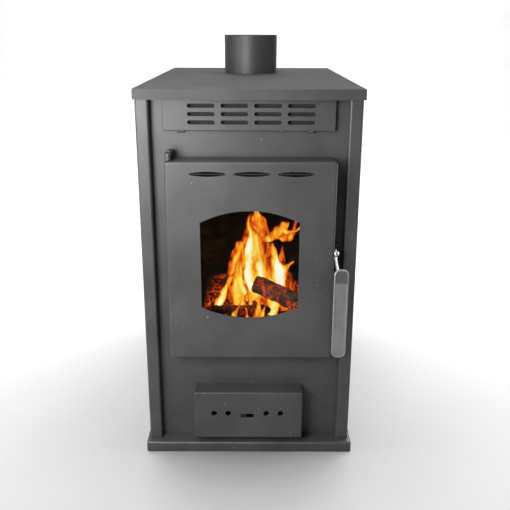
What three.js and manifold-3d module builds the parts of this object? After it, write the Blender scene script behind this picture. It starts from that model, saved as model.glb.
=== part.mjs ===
// Wood burning stove: sheet-steel warm-air casing round a welded firebox, with a glazed fire door,
// a gravity door handle, an ash drawer with a sliding air damper, and a flue collar on the lid.
// Millimetres. +X is the viewer's right, the front faces -Y, +Z is up.
// The origin is on the floor, under the middle of the lid.

import * as THREE from 'three';
import * as BufferGeometryUtils from 'three/addons/utils/BufferGeometryUtils.js';
import Module from 'manifold-3d';

const wasm = await Module();
wasm.setup();

// ---------------------------------------------------------------- driving dimensions

// Overall
const lidWidth = 400;
const lidDepth = 600;
const stoveHeight = 710;        // floor to lid top
const gap = 0.3;                // left between pieces that touch
const slideGap = 0.5;           // left round pieces that slide or turn

// Lid
const lidSheet = 3;
const lidSkirt = 19;
const lidFold = 2.5;            // outer radius of the folded edge

// Flue collar
const flueDiameter = 120;
const flueWall = 2;
const flueRise = 84;            // above the lid
const flueFromBack = 179;       // collar axis to the lid's rear edge
const flueHoleGap = 0.8;        // lid hole round the collar, per side
const flueSeat = 3;             // roof hole is smaller than the collar's bore by this, per side

// Base tray
const trayHeight = 21;
const traySheet = 3;
const trayFold = 4;
const traySide = 6;             // tray beyond the casing at each side
const trayFront = 13.5;         // tray beyond the casing at front and back
const trayLip = 42;             // flange that the casing and firebox stand on

// Casing
const casingSheet = 2;
const casingBend = 3;           // centre-line radius of its folds
const flangeWidth = 24;         // front flange of each side panel
const rearFlange = 20;
const recess = 18;              // front plate behind the flanges
const backSheet = 1.5;
const convectionGap = 22;       // air space between casing and firebox sides
const rearAirGap = 31;          // air space behind the firebox
const ventRows = 5;
const ventColumns = 3;
const ventHeight = 8;
const ventPitch = 22;
const ventMargin = 45;
const ventColumnGap = 18;
const ventBottom = 70;
const panelScrewShank = 4.2;
const panelScrewHead = 9;
const panelScrewRise = 2.6;
const panelScrewLength = 10;
const panelScrewInset = 11;     // screw axis to the casing's side
const panelScrewEnd = 45;       // screw axis to the panel's top or bottom

// Front plate
const frontSheet = 3;
const frontTopDrop = 16;        // slot left over the plate for the warm air
const fireOpeningInset = 25.5;  // opening edge to door edge, left and right
const fireOpeningInsetZ = 29;   // the same, top and bottom
const fireOpeningCorner = 8;
const ashOpeningSide = 4;       // round the ash pan, per side
const ashOpeningTop = 9;
const ashOpeningBottom = 5;

// Warm-air grille
const grilleSide = 22;          // grille edge to flange edge
const grilleDrop = 55;          // grille below the skirt
const grilleTuck = 9;           // grille behind the skirt
const grilleDepth = 8;
const grilleSheet = 1.5;
const grilleFold = 1.5;
const grilleCorner = 0.6;
const grilleRows = 3;
const grilleColumns = 4;
const grilleSlotHeight = 7.2;
const grilleSlotPitch = 14.4;
const grilleSlotGap = 10.2;
const grilleSlotMargin = 39.5;
const grilleSlotOffset = 3.5;   // the slot pattern sits this far right of the middle
const grilleFirstRow = 11.3;    // top row below the skirt

// Fire door
const doorLeftMargin = 26.2;    // door edge to flange edge
const doorRightMargin = 20.2;
const doorAboveDrawer = 80.8;
const doorBelowGrille = 47.2;
const doorDepth = 42;
const doorGap = 4.3;            // door pan to front plate
const doorSheet = 3;
const doorFold = 4.5;
const doorCorner = 6;
const windowSide = 61.5;        // window edge to door edge
const windowTop = 87;
const windowBottom = 83;
const windowShift = -1.5;       // window this far from the door's middle
const windowTopArch = 22;
const windowBottomArch = 20.5;
const lensSide = 41.2;          // lens slots to door edge
const lensShift = 2;
const lensGap = 12.9;
const lensHeight = 9;
const lensEnd = 1.6;            // radius of their round ends
const lensDrop = 21.5;          // lens centre below the door's top
const lensCount = 3;

// Glass and what holds it
const glassOverlap = 12;        // glass beyond the window, each way
const glassThick = 4;
const tapeThick = 2;
const tapeWidth = 9;
const railWidth = 15;
const railSheet = 2.5;
const railEnds = 22;            // rail stops short of the glass's ends
const railScrewShank = 5;
const railScrewHead = 9.5;
const railScrewRise = 3;
const railScrewInset = 18;      // screw axis to the rail's end
const railScrewClear = 1.5;     // screw shank to glass edge

// Liner and seal
const linerRecess = 4.7;        // liner's back in front of the pan's rear edge
const linerSheet = 2;
const linerSide = 9;            // liner opening beyond the glass, each side
const linerEnds = 10;           // the same, top and bottom
const sealBand = 18.2;          // width of the seal channel with its gaps
const sealSheet = 1.5;
const sealFloor = 12.5;         // channel floor in front of the pan's rear edge
const sealWall = 11.5;          // channel depth
const ropeSide = 0.5;           // rope to channel wall

// Hinges
const pinDiameter = 7;
const pinHead = 10;
const pinHeadRise = 4;
const pinSealGap = 4;           // pin to the seal channel
const pinWallGap = 0.5;         // pin to the inside of the door's side wall
const lugWidth = 11;
const lugHeight = 12;
const lugFront = 3;             // upper lug ends this far behind the door's face
const lugRise = 1.5;            // lug to door edge
const lowerLugHeight = 8;
const lowerLugNose = 6;         // lower lug beyond the pin axis
const pinReach = 11;            // pin inside the door
const washerThick = 0.8;
const washerDiameter = 13;

// Handle
const pivotFromFront = 11;      // pivot axis behind the door's face
const pivotHeight = 205;        // pivot axis above the door's bottom edge
const boltShank = 6;
const boltHead = 12;
const boltHeadRise = 5;
const nutAcross = 10;
const nutThick = 5;
const leverSheet = 4;
const eyeRadius = 10;
const armWidth = 9;
const tailInset = 3;            // tail's end in front of the door's rear edge
const tailHeight = 11;
const gripWidth = 25.6;
const gripLength = 171;
const gripThick = 6;
const gripCorner = 9;
const gripEdge = 1.6;
const gripTopDrop = 17;         // grip's top end below the pivot
const gripStandoff = 21;        // back of the grip in front of the door
const gripShift = 2.8;          // grip's left edge left of the lever plate
const keeperThick = 5;
const keeperWidth = 7;
const keeperReach = 18;
const keeperRamp = 10;          // lead-in at its front, for the tail
const keeperRampRise = 2.5;
const keeperClear = 0.6;        // tail to keeper
const keeperSide = 1.2;         // keeper to the lever plate's inner face

// Ash drawer
const drawerWidth = 209.6;
const drawerHeight = 100;
const drawerAboveTray = 13;
const drawerDepth = 32.8;
const drawerGap = 1.2;
const drawerSheet = 3;
const drawerFold = 2.2;
const drawerCorner = 1.2;
const drawerShift = -1.3;
const airHole = 11.6;
const airHolePitch = 27.5;
const airHoleInner = 37;        // inner holes to the middle of the slot
const airHoleHeight = 54.4;     // above the drawer's bottom edge
const pokerSlotWidth = 25.6;
const pokerSlotHeight = 9.5;
const pokerSlotDrop = 5.4;      // slot centre below the hole centres
const pokerSlotShift = -2;
const panWidth = 186;
const panTopDrop = 14;          // pan rim below the drawer front's top
const panBackRoom = 149;        // pan to the firebox's back wall
const panSheet = 1.5;
const panBottom = 12;           // pan floor above the drawer front's bottom edge

// Air slider
const sliderSheet = 1.5;
const sliderWidth = 156;
const sliderHeight = 32;
const sliderTravel = 14;
const tongueHeight = 5.5;
const tongueRecess = 1.4;       // tongue tip behind the drawer's face
const lanceWidth = 13.4;
const sliderHoleExtra = 0.6;
const railLap = 4;
const railBody = 6;
const sliderRailSheet = 1.5;
const sliderRailLength = 170;

// Firebox
const wallPlate = 4;
const roofBelowSkirt = 60.7;    // firebox roof top below the skirt
const fireFloorHeight = 190;    // above the floor
const grateSide = 33;           // grate edge to the bricks
const grateFront = 75;
const grateBack = 110;
const grateThick = 12;
const grateBorder = 14;
const grateCorner = 6;
const grateBar = 11;
const grateBars = 8;
const grateSeat = 8;            // grate lies on the fire floor by this much
const pitFloorSheet = 3;
const brickThick = 25;
const brickBelowBaffle = 130;   // brick tops below the baffle
const brickFront = 35;          // first brick behind the front plate
const sideBricks = 3;
const backBricks = 2;
const baffleThick = 5;
const baffleBelowRoof = 80;
const baffleFront = 155;        // smoke gap between the front plate and the baffle
const ledgeLeg = 18;
const ledgeSheet = 3;
const runnerSheet = 2;
const runnerFoot = 16;
const runnerBend = 2.5;
const runnerBackRoom = 93;      // runner to the firebox's back wall
const runnerInset = 4;          // runner web inside the pan's side

// ---------------------------------------------------------------- places worked out from them

const casingWidth = lidWidth - 2 * (lidSheet + gap);
const casingDepth = lidDepth - 2 * (lidSheet + gap);
const casingFront = -casingDepth / 2;
const casingBack = casingDepth / 2;
const casingBottom = trayHeight + gap;
const casingTop = stoveHeight - lidSheet - gap;
const skirtBottom = stoveHeight - lidSkirt;
const casingInner = casingWidth / 2 - casingSheet;
const flangeEdge = casingWidth / 2 - flangeWidth;
const plateFront = casingFront + recess;
const plateBack = plateFront + frontSheet;
const plateHalf = casingInner - gap;
const plateTop = casingTop - frontTopDrop;
const backFront = casingBack - casingSheet - gap - backSheet;
const backHalf = casingInner - casingBend;       // clear of the side panels' bends

const flueRadius = flueDiameter / 2;
const flueY = lidDepth / 2 - flueFromBack;
const roofTop = skirtBottom - roofBelowSkirt;
const boxHalf = casingInner - convectionGap;
const boxFront = plateBack + gap;
const boxBack = backFront - rearAirGap;
const boxInner = boxHalf - wallPlate;
const fillHalf = boxInner - gap;
const fillBack = boxBack - wallPlate - gap;

const drawerBottom = trayHeight + drawerAboveTray;
const drawerTop = drawerBottom + drawerHeight;
const drawerBack = plateFront - drawerGap;
const drawerFront = drawerBack - drawerDepth;
const skinBack = drawerFront + drawerSheet;
const holeZ = drawerBottom + airHoleHeight;
const pokerX = drawerShift + pokerSlotShift;
const tongueWidth = pokerSlotWidth - sliderTravel - 2 * slideGap;
const pokerZ = holeZ - pokerSlotDrop;
const panFloorZ = drawerBottom + panBottom;
const panRimZ = drawerTop - panTopDrop;
const holeOffsets = [-1, 1].flatMap((side) => [0, 1].map((n) => side * (airHoleInner + n * airHolePitch)));

const grilleBottom = skirtBottom - grilleDrop;
const grilleTop = skirtBottom + grilleTuck;
const grilleHalf = flangeEdge - grilleSide;
const grilleFront = plateFront - gap - grilleDepth;

const doorLeft = -flangeEdge + doorLeftMargin;
const doorRight = flangeEdge - doorRightMargin;
const doorBottom = drawerTop + doorAboveDrawer;
const doorTop = grilleBottom - doorBelowGrille;
const doorBack = plateFront - doorGap;
const doorFront = doorBack - doorDepth;
const doorX = (doorLeft + doorRight) / 2;
const doorZ = (doorBottom + doorTop) / 2;
const doorHalf = (doorRight - doorLeft) / 2;
const doorHalfZ = (doorTop - doorBottom) / 2;
const doorSkinBack = doorFront + doorSheet;

const windowX = doorX + windowShift;
const windowHalf = doorHalf - windowSide;
const windowLow = doorBottom + windowBottom;
const windowHigh = doorTop - windowTop;
const glassHalf = windowHalf + glassOverlap;
const glassLow = windowLow - glassOverlap;
const glassHigh = windowHigh + glassOverlap;
const glassZ = (glassLow + glassHigh) / 2;
const glassHalfZ = (glassHigh - glassLow) / 2;
const tapeFront = doorSkinBack + gap;
const glassFront = tapeFront + tapeThick + gap;
const railFront = glassFront + glassThick + gap;
const railScrewX = glassHalf + railScrewClear + railScrewShank / 2;
const railHalfZ = glassHalfZ - railEnds;

const panInnerHalf = doorHalf - doorSheet;
const panInnerHalfZ = doorHalfZ - doorSheet;
const linerHalf = panInnerHalf - sealBand;
const linerHalfZ = panInnerHalfZ - sealBand;
const sealY = doorBack - sealFloor;

const pinX = doorLeft + doorSheet + pinWallGap + pinDiameter / 2;
const pinRadius = pinDiameter / 2;
const pinY = sealY - pinSealGap - pinRadius;

const pivotY = doorFront + pivotFromFront;
const pivotZ = doorBottom + pivotHeight;
const leverLeft = doorRight + gap;
const leverRight = leverLeft + leverSheet;
const gripBack = doorFront - gripStandoff;
const gripTop = pivotZ - gripTopDrop;
const tailEnd = doorBack - tailInset;

// ---------------------------------------------------------------- shape helpers

function solidOf(geometry) {
  const bare = geometry.index ? geometry.toNonIndexed() : geometry.clone();
  bare.deleteAttribute('normal');
  bare.deleteAttribute('uv');
  const merged = BufferGeometryUtils.mergeVertices(bare, 1e-4);
  return new wasm.Manifold(new wasm.Mesh({
    numProp: 3,
    vertProperties: new Float32Array(merged.attributes.position.array),
    triVerts: new Uint32Array(merged.index.array),
  }));
}

function cut(body, ...tools) {
  return tools.reduce((left, tool) => left.subtract(tool), body);
}

function join(...bodies) {
  return bodies.reduce((all, body) => all.add(body));
}

function box(x0, x1, y0, y1, z0, z1) {
  const geometry = new THREE.BoxGeometry(x1 - x0, y1 - y0, z1 - z0);
  geometry.translate((x0 + x1) / 2, (y0 + y1) / 2, (z0 + z1) / 2);
  return solidOf(geometry);
}

// A plan outline in X and Y, raised from z0 to z1.
function raise(shape, z0, z1, segments = 3) {
  const options = { depth: z1 - z0, bevelEnabled: false, curveSegments: segments };
  const geometry = new THREE.ExtrudeGeometry(shape, options);
  geometry.translate(0, 0, z0);
  return solidOf(geometry);
}

// A front-view outline in X and Z, carried back from y0 to y1.
function carryBack(shape, y0, y1, segments = 3) {
  const options = { depth: y1 - y0, bevelEnabled: false, curveSegments: segments };
  const geometry = new THREE.ExtrudeGeometry(shape, options);
  geometry.rotateX(Math.PI / 2);
  geometry.translate(0, y1, 0);
  return solidOf(geometry);
}

// A side-view outline in Y and Z, carried right from x0 to x1.
function carryRight(shape, x0, x1, segments = 3) {
  const options = { depth: x1 - x0, bevelEnabled: false, curveSegments: segments };
  const geometry = new THREE.ExtrudeGeometry(shape, options);
  geometry.applyMatrix4(new THREE.Matrix4().set(0, 0, 1, 0, 1, 0, 0, 0, 0, 1, 0, 0, 0, 0, 0, 1));
  geometry.translate(x0, 0, 0);
  return solidOf(geometry);
}

// A solid of revolution about Z from [radius, height] points that start and end on the axis.
function spin(points, sides) {
  const outline = points.map(([radius, height]) => new THREE.Vector2(radius, height));
  const geometry = new THREE.LatheGeometry(outline, sides);
  geometry.rotateX(Math.PI / 2);
  return solidOf(geometry);
}

// A round bar along an axis, from one end to the other.
function bar(axis, radius, start, end, a, b, sides = 20) {
  const solid = spin([[0, 0], [radius, 0], [radius, end - start], [0, end - start]], sides);
  return place(solid, axis, start, a, b);
}

// Turns a solid that stands on Z=0 so that it starts at 'start' on the axis, through (a, b).
function place(solid, axis, start, a, b) {
  if (axis === 'x') return solid.rotate([0, 90, 0]).translate([start, a, b]);
  if (axis === 'y') return solid.rotate([-90, 0, 0]).translate([a, start, b]);
  return solid.translate([a, b, start]);
}

// A fastener with a domed head standing on Z=0 and its shank below.
function domeHead(headRadius, rise, shankRadius, shankLength, sides = 20) {
  const steps = 4;
  const outline = [[0, -shankLength], [shankRadius, -shankLength], [shankRadius, 0], [headRadius, 0]];
  for (let n = 1; n <= steps; n++) {
    const turn = (n / steps) * (Math.PI / 2);
    outline.push([n === steps ? 0 : headRadius * Math.cos(turn), rise * Math.sin(turn)]);
  }
  return spin(outline, sides);
}

function rectangle(x0, x1, y0, y1) {
  const shape = new THREE.Shape();
  shape.moveTo(x0, y0);
  shape.lineTo(x1, y0);
  shape.lineTo(x1, y1);
  shape.lineTo(x0, y1);
  shape.closePath();
  return shape;
}

function roundRectangle(x0, x1, y0, y1, radius) {
  const shape = new THREE.Shape();
  shape.moveTo(x0 + radius, y0);
  shape.lineTo(x1 - radius, y0);
  shape.absarc(x1 - radius, y0 + radius, radius, -Math.PI / 2, 0, false);
  shape.lineTo(x1, y1 - radius);
  shape.absarc(x1 - radius, y1 - radius, radius, 0, Math.PI / 2, false);
  shape.lineTo(x0 + radius, y1);
  shape.absarc(x0 + radius, y1 - radius, radius, Math.PI / 2, Math.PI, false);
  shape.lineTo(x0, y0 + radius);
  shape.absarc(x0 + radius, y0 + radius, radius, Math.PI, 1.5 * Math.PI, false);
  return shape;
}

// A slot with half-round ends.
function slot(x, z, length, height) {
  return roundRectangle(x - length / 2, x + length / 2, z - height / 2, z + height / 2, height / 2 - 0.01);
}

// A slot pointed like a lens: two shallow arcs that meet small round ends.
function lens(x, z, length, height, endRadius) {
  const half = length / 2 - endRadius;
  const rise = height / 2 - endRadius;
  const bow = (half * half + rise * rise) / (2 * rise);
  const sweep = Math.asin(half / bow);
  const radius = bow + endRadius;
  const shape = new THREE.Shape();
  shape.absarc(x, z + bow - rise, radius, -Math.PI / 2 - sweep, -Math.PI / 2 + sweep, false);
  shape.absarc(x + half, z, endRadius, -Math.PI / 2 + sweep, Math.PI / 2 - sweep, false);
  shape.absarc(x, z - bow + rise, radius, Math.PI / 2 - sweep, Math.PI / 2 + sweep, false);
  shape.absarc(x - half, z, endRadius, Math.PI / 2 + sweep, 1.5 * Math.PI - sweep, false);
  return shape;
}

// A window with straight sides and arched ends; each arch rises by its own height.
function archWindow(x, half, low, high, lowArch, highArch) {
  const lowRadius = (half * half + lowArch * lowArch) / (2 * lowArch);
  const highRadius = (half * half + highArch * highArch) / (2 * highArch);
  const lowSweep = Math.asin(half / lowRadius);
  const highSweep = Math.asin(half / highRadius);
  const shape = new THREE.Shape();
  shape.absarc(x, low + lowRadius, lowRadius, -Math.PI / 2 - lowSweep, -Math.PI / 2 + lowSweep, false);
  shape.absarc(x, high - highRadius, highRadius, Math.PI / 2 - highSweep, Math.PI / 2 + highSweep, false);
  return shape;
}

// The outline of a folded sheet: its centre line gets a round bend at each corner, then its thickness.
function foldedSheet(points, thickness, bend) {
  const line = [];
  const steps = 4;
  points.forEach(([px, py], n) => {
    const here = new THREE.Vector2(px, py);
    if (n === 0 || n === points.length - 1) {
      line.push(here);
      return;
    }
    const before = new THREE.Vector2(...points[n - 1]).sub(here).normalize();
    const after = new THREE.Vector2(...points[n + 1]).sub(here).normalize();
    const half = Math.acos(THREE.MathUtils.clamp(before.dot(after), -1, 1)) / 2;
    const start = here.clone().addScaledVector(before, bend / Math.tan(half));
    const end = here.clone().addScaledVector(after, bend / Math.tan(half));
    const middle = before.clone().add(after).normalize();
    const centre = here.clone().addScaledVector(middle, bend / Math.sin(half));
    for (let k = 0; k <= steps; k++) {
      const spoke = start.clone().lerp(end, k / steps).sub(centre).setLength(bend);
      line.push(centre.clone().add(spoke));
    }
  });
  const left = [];
  const right = [];
  line.forEach((here, n) => {
    const next = line[Math.min(n + 1, line.length - 1)];
    const last = line[Math.max(n - 1, 0)];
    const along = next.clone().sub(last).normalize();
    const normal = new THREE.Vector2(-along.y, along.x).multiplyScalar(thickness / 2);
    left.push(here.clone().add(normal));
    right.push(here.clone().sub(normal));
  });
  return new THREE.Shape([...left, ...right.reverse()]);
}

// A block whose front edges are rounded like a fold; its back is flat.
function foldedBlock(x0, x1, z0, z1, y0, y1, fold, corner) {
  const inner = Math.max(corner - fold, 0.05);
  const shape = roundRectangle(x0 + fold, x1 - fold, z0 + fold, z1 - fold, inner);
  const options = {
    depth: y1 - y0, bevelEnabled: true, bevelSize: fold, bevelThickness: fold,
    bevelSegments: 3, curveSegments: 1,
  };
  const geometry = new THREE.ExtrudeGeometry(shape, options);
  geometry.rotateX(Math.PI / 2);
  geometry.translate(0, y1 + fold, 0);
  const spare = 10;
  const behind = box(x0 - spare, x1 + spare, y1, y1 + 4 * fold + spare, z0 - spare, z1 + spare);
  return cut(solidOf(geometry), behind);
}

// A pan folded from sheet: a face at the front and four walls running back.
function foldedPan(x0, x1, z0, z1, y0, y1, sheet, fold, corner) {
  const innerFold = Math.max(fold - sheet, 0.4);
  const innerCorner = Math.max(corner - sheet, 0.5);
  const hollow = foldedBlock(x0 + sheet, x1 - sheet, z0 + sheet, z1 - sheet, y0 + sheet, y1 + 1,
    innerFold, innerCorner);
  return cut(foldedBlock(x0, x1, z0, z1, y0, y1, fold, corner), hollow);
}

// A flat frame: outer and inner half sizes round a centre, in X and Z.
function frame(x, z, outerX, outerZ, innerX, innerZ, y0, y1, corner = 0.5) {
  const shape = roundRectangle(x - outerX, x + outerX, z - outerZ, z + outerZ, corner + outerX - innerX);
  shape.holes.push(roundRectangle(x - innerX, x + innerX, z - innerZ, z + innerZ, corner));
  return carryBack(shape, y0, y1, 1);
}

const enamel = new THREE.MeshStandardMaterial({ color: 0x5c5d5e, roughness: 0.62, metalness: 0.15 });
const darkSteel = new THREE.MeshStandardMaterial({ color: 0x2b2a29, roughness: 0.8, metalness: 0.4 });
const castIron = new THREE.MeshStandardMaterial({ color: 0x35322f, roughness: 0.85, metalness: 0.5 });
const firebrick = new THREE.MeshStandardMaterial({ color: 0xa38a6c, roughness: 0.95, metalness: 0 });
const zincSteel = new THREE.MeshStandardMaterial({ color: 0xb9bbb8, roughness: 0.35, metalness: 1 });
const handleSteel = new THREE.MeshStandardMaterial({ color: 0x808182, roughness: 0.45, metalness: 0.6 });
const glassCeramic = new THREE.MeshStandardMaterial({ color: 0x2a2016, roughness: 0.05, metalness: 0 });
const ropeFibre = new THREE.MeshStandardMaterial({ color: 0x3a3a38, roughness: 0.95, metalness: 0 });

const stove = new THREE.Group();

function add(name, solid, material) {
  const mesh = solid.getMesh();
  const geometry = new THREE.BufferGeometry();
  geometry.setAttribute('position', new THREE.BufferAttribute(new Float32Array(mesh.vertProperties), 3));
  geometry.setIndex(new THREE.BufferAttribute(new Uint32Array(mesh.triVerts), 1));
  geometry.computeVertexNormals();
  const node = new THREE.Mesh(geometry, material);
  node.name = name;
  stove.add(node);
}

// ---------------------------------------------------------------- base tray

function baseTray() {
  const halfX = casingWidth / 2 + traySide;
  const halfY = casingDepth / 2 + trayFront;
  const shape = roundRectangle(-halfX + trayFold, halfX - trayFold, -halfY + trayFold, halfY - trayFold, 1);
  const options = {
    depth: trayHeight, bevelEnabled: true, bevelSize: trayFold, bevelThickness: trayFold,
    bevelSegments: 3, curveSegments: 1,
  };
  const geometry = new THREE.ExtrudeGeometry(shape, options);
  geometry.translate(0, 0, -trayFold);
  const below = box(-halfX - 5, halfX + 5, -halfY - 5, halfY + 5, -3 * trayFold, 0);
  const hollow = box(-halfX + traySheet, halfX - traySheet, -halfY + traySheet, halfY - traySheet,
    traySheet, trayHeight - traySheet);
  const mouth = box(-halfX + trayLip, halfX - trayLip, -halfY + trayLip, halfY - trayLip,
    traySheet, trayHeight + 5);
  return cut(solidOf(geometry), below, hollow, mouth);
}
add('base_tray', baseTray(), enamel);

// ---------------------------------------------------------------- casing

const panelScrewX = casingWidth / 2 - panelScrewInset;
const panelScrewZ = [casingBottom + panelScrewEnd, plateTop - panelScrewEnd];

function panelScrewHoles(y0, y1) {
  const radius = panelScrewShank / 2 + gap;
  return [-1, 1].flatMap((side) =>
    panelScrewZ.map((z) => bar('y', radius, y0, y1, side * panelScrewX, z, 12)));
}

// side is -1 for the left panel and 1 for the right one.
function sidePanel(side) {
  const half = casingSheet / 2;
  const wall = casingWidth / 2 - half;
  const points = [
    [flangeEdge + half, plateFront - gap],
    [flangeEdge + half, casingFront + half],
    [wall, casingFront + half],
    [wall, casingBack - half],
    [casingWidth / 2 - rearFlange, casingBack - half],
  ].map(([x, y]) => [side * x, y]);
  const panel = raise(foldedSheet(points, casingSheet, casingBend), casingBottom, casingTop);
  return cut(panel, ...panelScrewHoles(casingBack - casingSheet - 1, casingBack + 1));
}
add('left_side_panel', sidePanel(-1), enamel);
add('right_side_panel', sidePanel(1), enamel);

function backPanel() {
  const shape = rectangle(-backHalf, backHalf, casingBottom, plateTop);
  const span = 2 * (backHalf - ventMargin);
  const length = (span - (ventColumns - 1) * ventColumnGap) / ventColumns;
  for (let row = 0; row < ventRows; row++) {
    for (let column = 0; column < ventColumns; column++) {
      const x = -span / 2 + length / 2 + column * (length + ventColumnGap);
      shape.holes.push(slot(x, ventBottom + row * ventPitch, length, ventHeight));
    }
  }
  const panel = carryBack(shape, backFront, backFront + backSheet, 1);
  return cut(panel, ...panelScrewHoles(backFront - 1, backFront + backSheet + 1));
}
add('back_panel', backPanel(), enamel);

[-1, 1].forEach((side) => panelScrewZ.forEach((z, level) => {
  const screw = domeHead(panelScrewHead / 2, panelScrewRise, panelScrewShank / 2, panelScrewLength, 12);
  const name = `back_screw_${side < 0 ? 'left' : 'right'}_${level ? 'upper' : 'lower'}`;
  add(name, place(screw, 'y', casingBack + gap, side * panelScrewX, z), zincSteel);
}));

function lid() {
  const halfX = lidWidth / 2;
  const halfY = lidDepth / 2;
  const shape = roundRectangle(-halfX + lidFold, halfX - lidFold, -halfY + lidFold, halfY - lidFold, 0.6);
  const options = {
    depth: lidSkirt, bevelEnabled: true, bevelSize: lidFold, bevelThickness: lidFold,
    bevelSegments: 3, curveSegments: 1,
  };
  const geometry = new THREE.ExtrudeGeometry(shape, options);
  geometry.translate(0, 0, skirtBottom - lidFold);
  const below = box(-halfX - 5, halfX + 5, -halfY - 5, halfY + 5, skirtBottom - 5 * lidFold, skirtBottom);
  const hollow = box(-halfX + lidSheet, halfX - lidSheet, -halfY + lidSheet, halfY - lidSheet,
    skirtBottom - 1, stoveHeight - lidSheet);
  const hole = bar('z', flueRadius + flueHoleGap, skirtBottom, stoveHeight + 5, 0, flueY, 48);
  return cut(solidOf(geometry), below, hollow, hole);
}
add('lid', lid(), enamel);

function flueCollar() {
  const bottom = roofTop + gap;
  const top = stoveHeight + flueRise;
  const tube = bar('z', flueRadius, bottom, top, 0, flueY, 48);
  return cut(tube, bar('z', flueRadius - flueWall, bottom - 1, top + 1, 0, flueY, 48));
}
add('flue_collar', flueCollar(), enamel);

// ---------------------------------------------------------------- front

function frontPlate() {
  const shape = rectangle(-plateHalf, plateHalf, casingBottom, plateTop);
  shape.holes.push(roundRectangle(doorLeft + fireOpeningInset, doorRight - fireOpeningInset,
    doorBottom + fireOpeningInsetZ, doorTop - fireOpeningInsetZ, fireOpeningCorner));
  const ashHalf = panWidth / 2 + ashOpeningSide;
  shape.holes.push(rectangle(drawerShift - ashHalf, drawerShift + ashHalf,
    panFloorZ - ashOpeningBottom, panRimZ + ashOpeningTop));
  return carryBack(shape, plateFront, plateBack, 2);
}
add('front_plate', frontPlate(), enamel);

// The grille's top is open: warm air comes over the front plate and down behind the slots.
function warmAirGrille() {
  const back = plateFront - gap;
  const spare = 20;
  const pan = foldedPan(-grilleHalf, grilleHalf, grilleBottom, grilleTop + spare, grilleFront, back,
    grilleSheet, grilleFold, grilleCorner);
  const above = box(-grilleHalf - 1, grilleHalf + 1, grilleFront - 1, back + 1,
    grilleTop, grilleTop + 2 * spare);
  const span = 2 * (grilleHalf - grilleSlotMargin);
  const length = (span - (grilleColumns - 1) * grilleSlotGap) / grilleColumns;
  const slots = [];
  for (let row = 0; row < grilleRows; row++) {
    for (let column = 0; column < grilleColumns; column++) {
      const x = grilleSlotOffset - span / 2 + length / 2 + column * (length + grilleSlotGap);
      const z = skirtBottom - grilleFirstRow - row * grilleSlotPitch;
      const outline = slot(x, z, length, grilleSlotHeight);
      slots.push(carryBack(outline, grilleFront - 1, grilleFront + 2 * grilleSheet, 2));
    }
  }
  return cut(pan, above, ...slots);
}
add('warm_air_grille', warmAirGrille(), enamel);

// ---------------------------------------------------------------- firebox

const wallTop = roofTop - wallPlate - gap;
const restTop = fireFloorHeight + gap;

add('firebox_left_wall', box(-boxHalf, -boxInner, boxFront, boxBack, casingBottom, wallTop), darkSteel);
add('firebox_right_wall', box(boxInner, boxHalf, boxFront, boxBack, casingBottom, wallTop), darkSteel);
add('firebox_back_wall', box(-fillHalf, fillHalf, boxBack - wallPlate, boxBack, casingBottom, wallTop),
  darkSteel);

function fireboxRoof() {
  const hole = bar('z', flueRadius - flueWall - flueSeat, wallTop, roofTop + 5, 0, flueY, 32);
  return cut(box(-boxHalf, boxHalf, boxFront, boxBack, roofTop - wallPlate, roofTop), hole);
}
add('firebox_roof', fireboxRoof(), darkSteel);

const baffleZ = roofTop - baffleBelowRoof;
const brickTop = baffleZ - brickBelowBaffle;
const brickY0 = boxFront + brickFront;
const brickY1 = fillBack - brickThick - gap;
const grateHalf = fillHalf - brickThick - grateSide;
const grateY0 = boxFront + grateFront;
const grateY1 = fillBack - grateBack;

function fireFloor() {
  const hole = box(-grateHalf + grateSeat, grateHalf - grateSeat, grateY0 + grateSeat, grateY1 - grateSeat,
    fireFloorHeight - 2 * wallPlate, fireFloorHeight + 1);
  const plate = box(-fillHalf, fillHalf, boxFront, fillBack, fireFloorHeight - wallPlate, fireFloorHeight);
  return cut(plate, hole);
}
add('fire_floor', fireFloor(), darkSteel);
add('ash_pit_floor', box(-fillHalf, fillHalf, boxFront, fillBack, casingBottom, casingBottom + pitFloorSheet),
  darkSteel);

function fireGrate() {
  const shape = roundRectangle(-grateHalf, grateHalf, grateY0, grateY1, grateCorner);
  const span = 2 * (grateHalf - grateBorder);
  const width = (span - (grateBars - 1) * grateBar) / grateBars;
  const middle = (grateY0 + grateY1) / 2;
  for (let n = 0; n < grateBars; n++) {
    const x = -span / 2 + width / 2 + n * (width + grateBar);
    [[grateY0 + grateBorder, middle - grateBar / 2], [middle + grateBar / 2, grateY1 - grateBorder]]
      .forEach(([y0, y1]) => shape.holes.push(
        roundRectangle(x - width / 2, x + width / 2, y0, y1, width / 2 - 0.01)));
  }
  return raise(shape, restTop, restTop + grateThick, 1);
}
add('fire_grate', fireGrate(), castIron);

const sideBrickLength = (brickY1 - brickY0 - (sideBricks - 1) * gap) / sideBricks;
[-1, 1].forEach((side) => {
  for (let n = 0; n < sideBricks; n++) {
    const y0 = brickY0 + n * (sideBrickLength + gap);
    const x0 = side < 0 ? -fillHalf : fillHalf - brickThick;
    const name = `${side < 0 ? 'left' : 'right'}_firebrick_${n + 1}`;
    add(name, box(x0, x0 + brickThick, y0, y0 + sideBrickLength, restTop, brickTop), firebrick);
  }
});
const backBrickLength = (2 * fillHalf - (backBricks - 1) * gap) / backBricks;
for (let n = 0; n < backBricks; n++) {
  const x0 = -fillHalf + n * (backBrickLength + gap);
  add(`back_firebrick_${n + 1}`,
    box(x0, x0 + backBrickLength, fillBack - brickThick, fillBack, restTop, brickTop), firebrick);
}

const baffleY0 = boxFront + baffleFront;
add('smoke_baffle', box(-fillHalf, fillHalf, baffleY0, fillBack, baffleZ, baffleZ + baffleThick),
  darkSteel);

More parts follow.
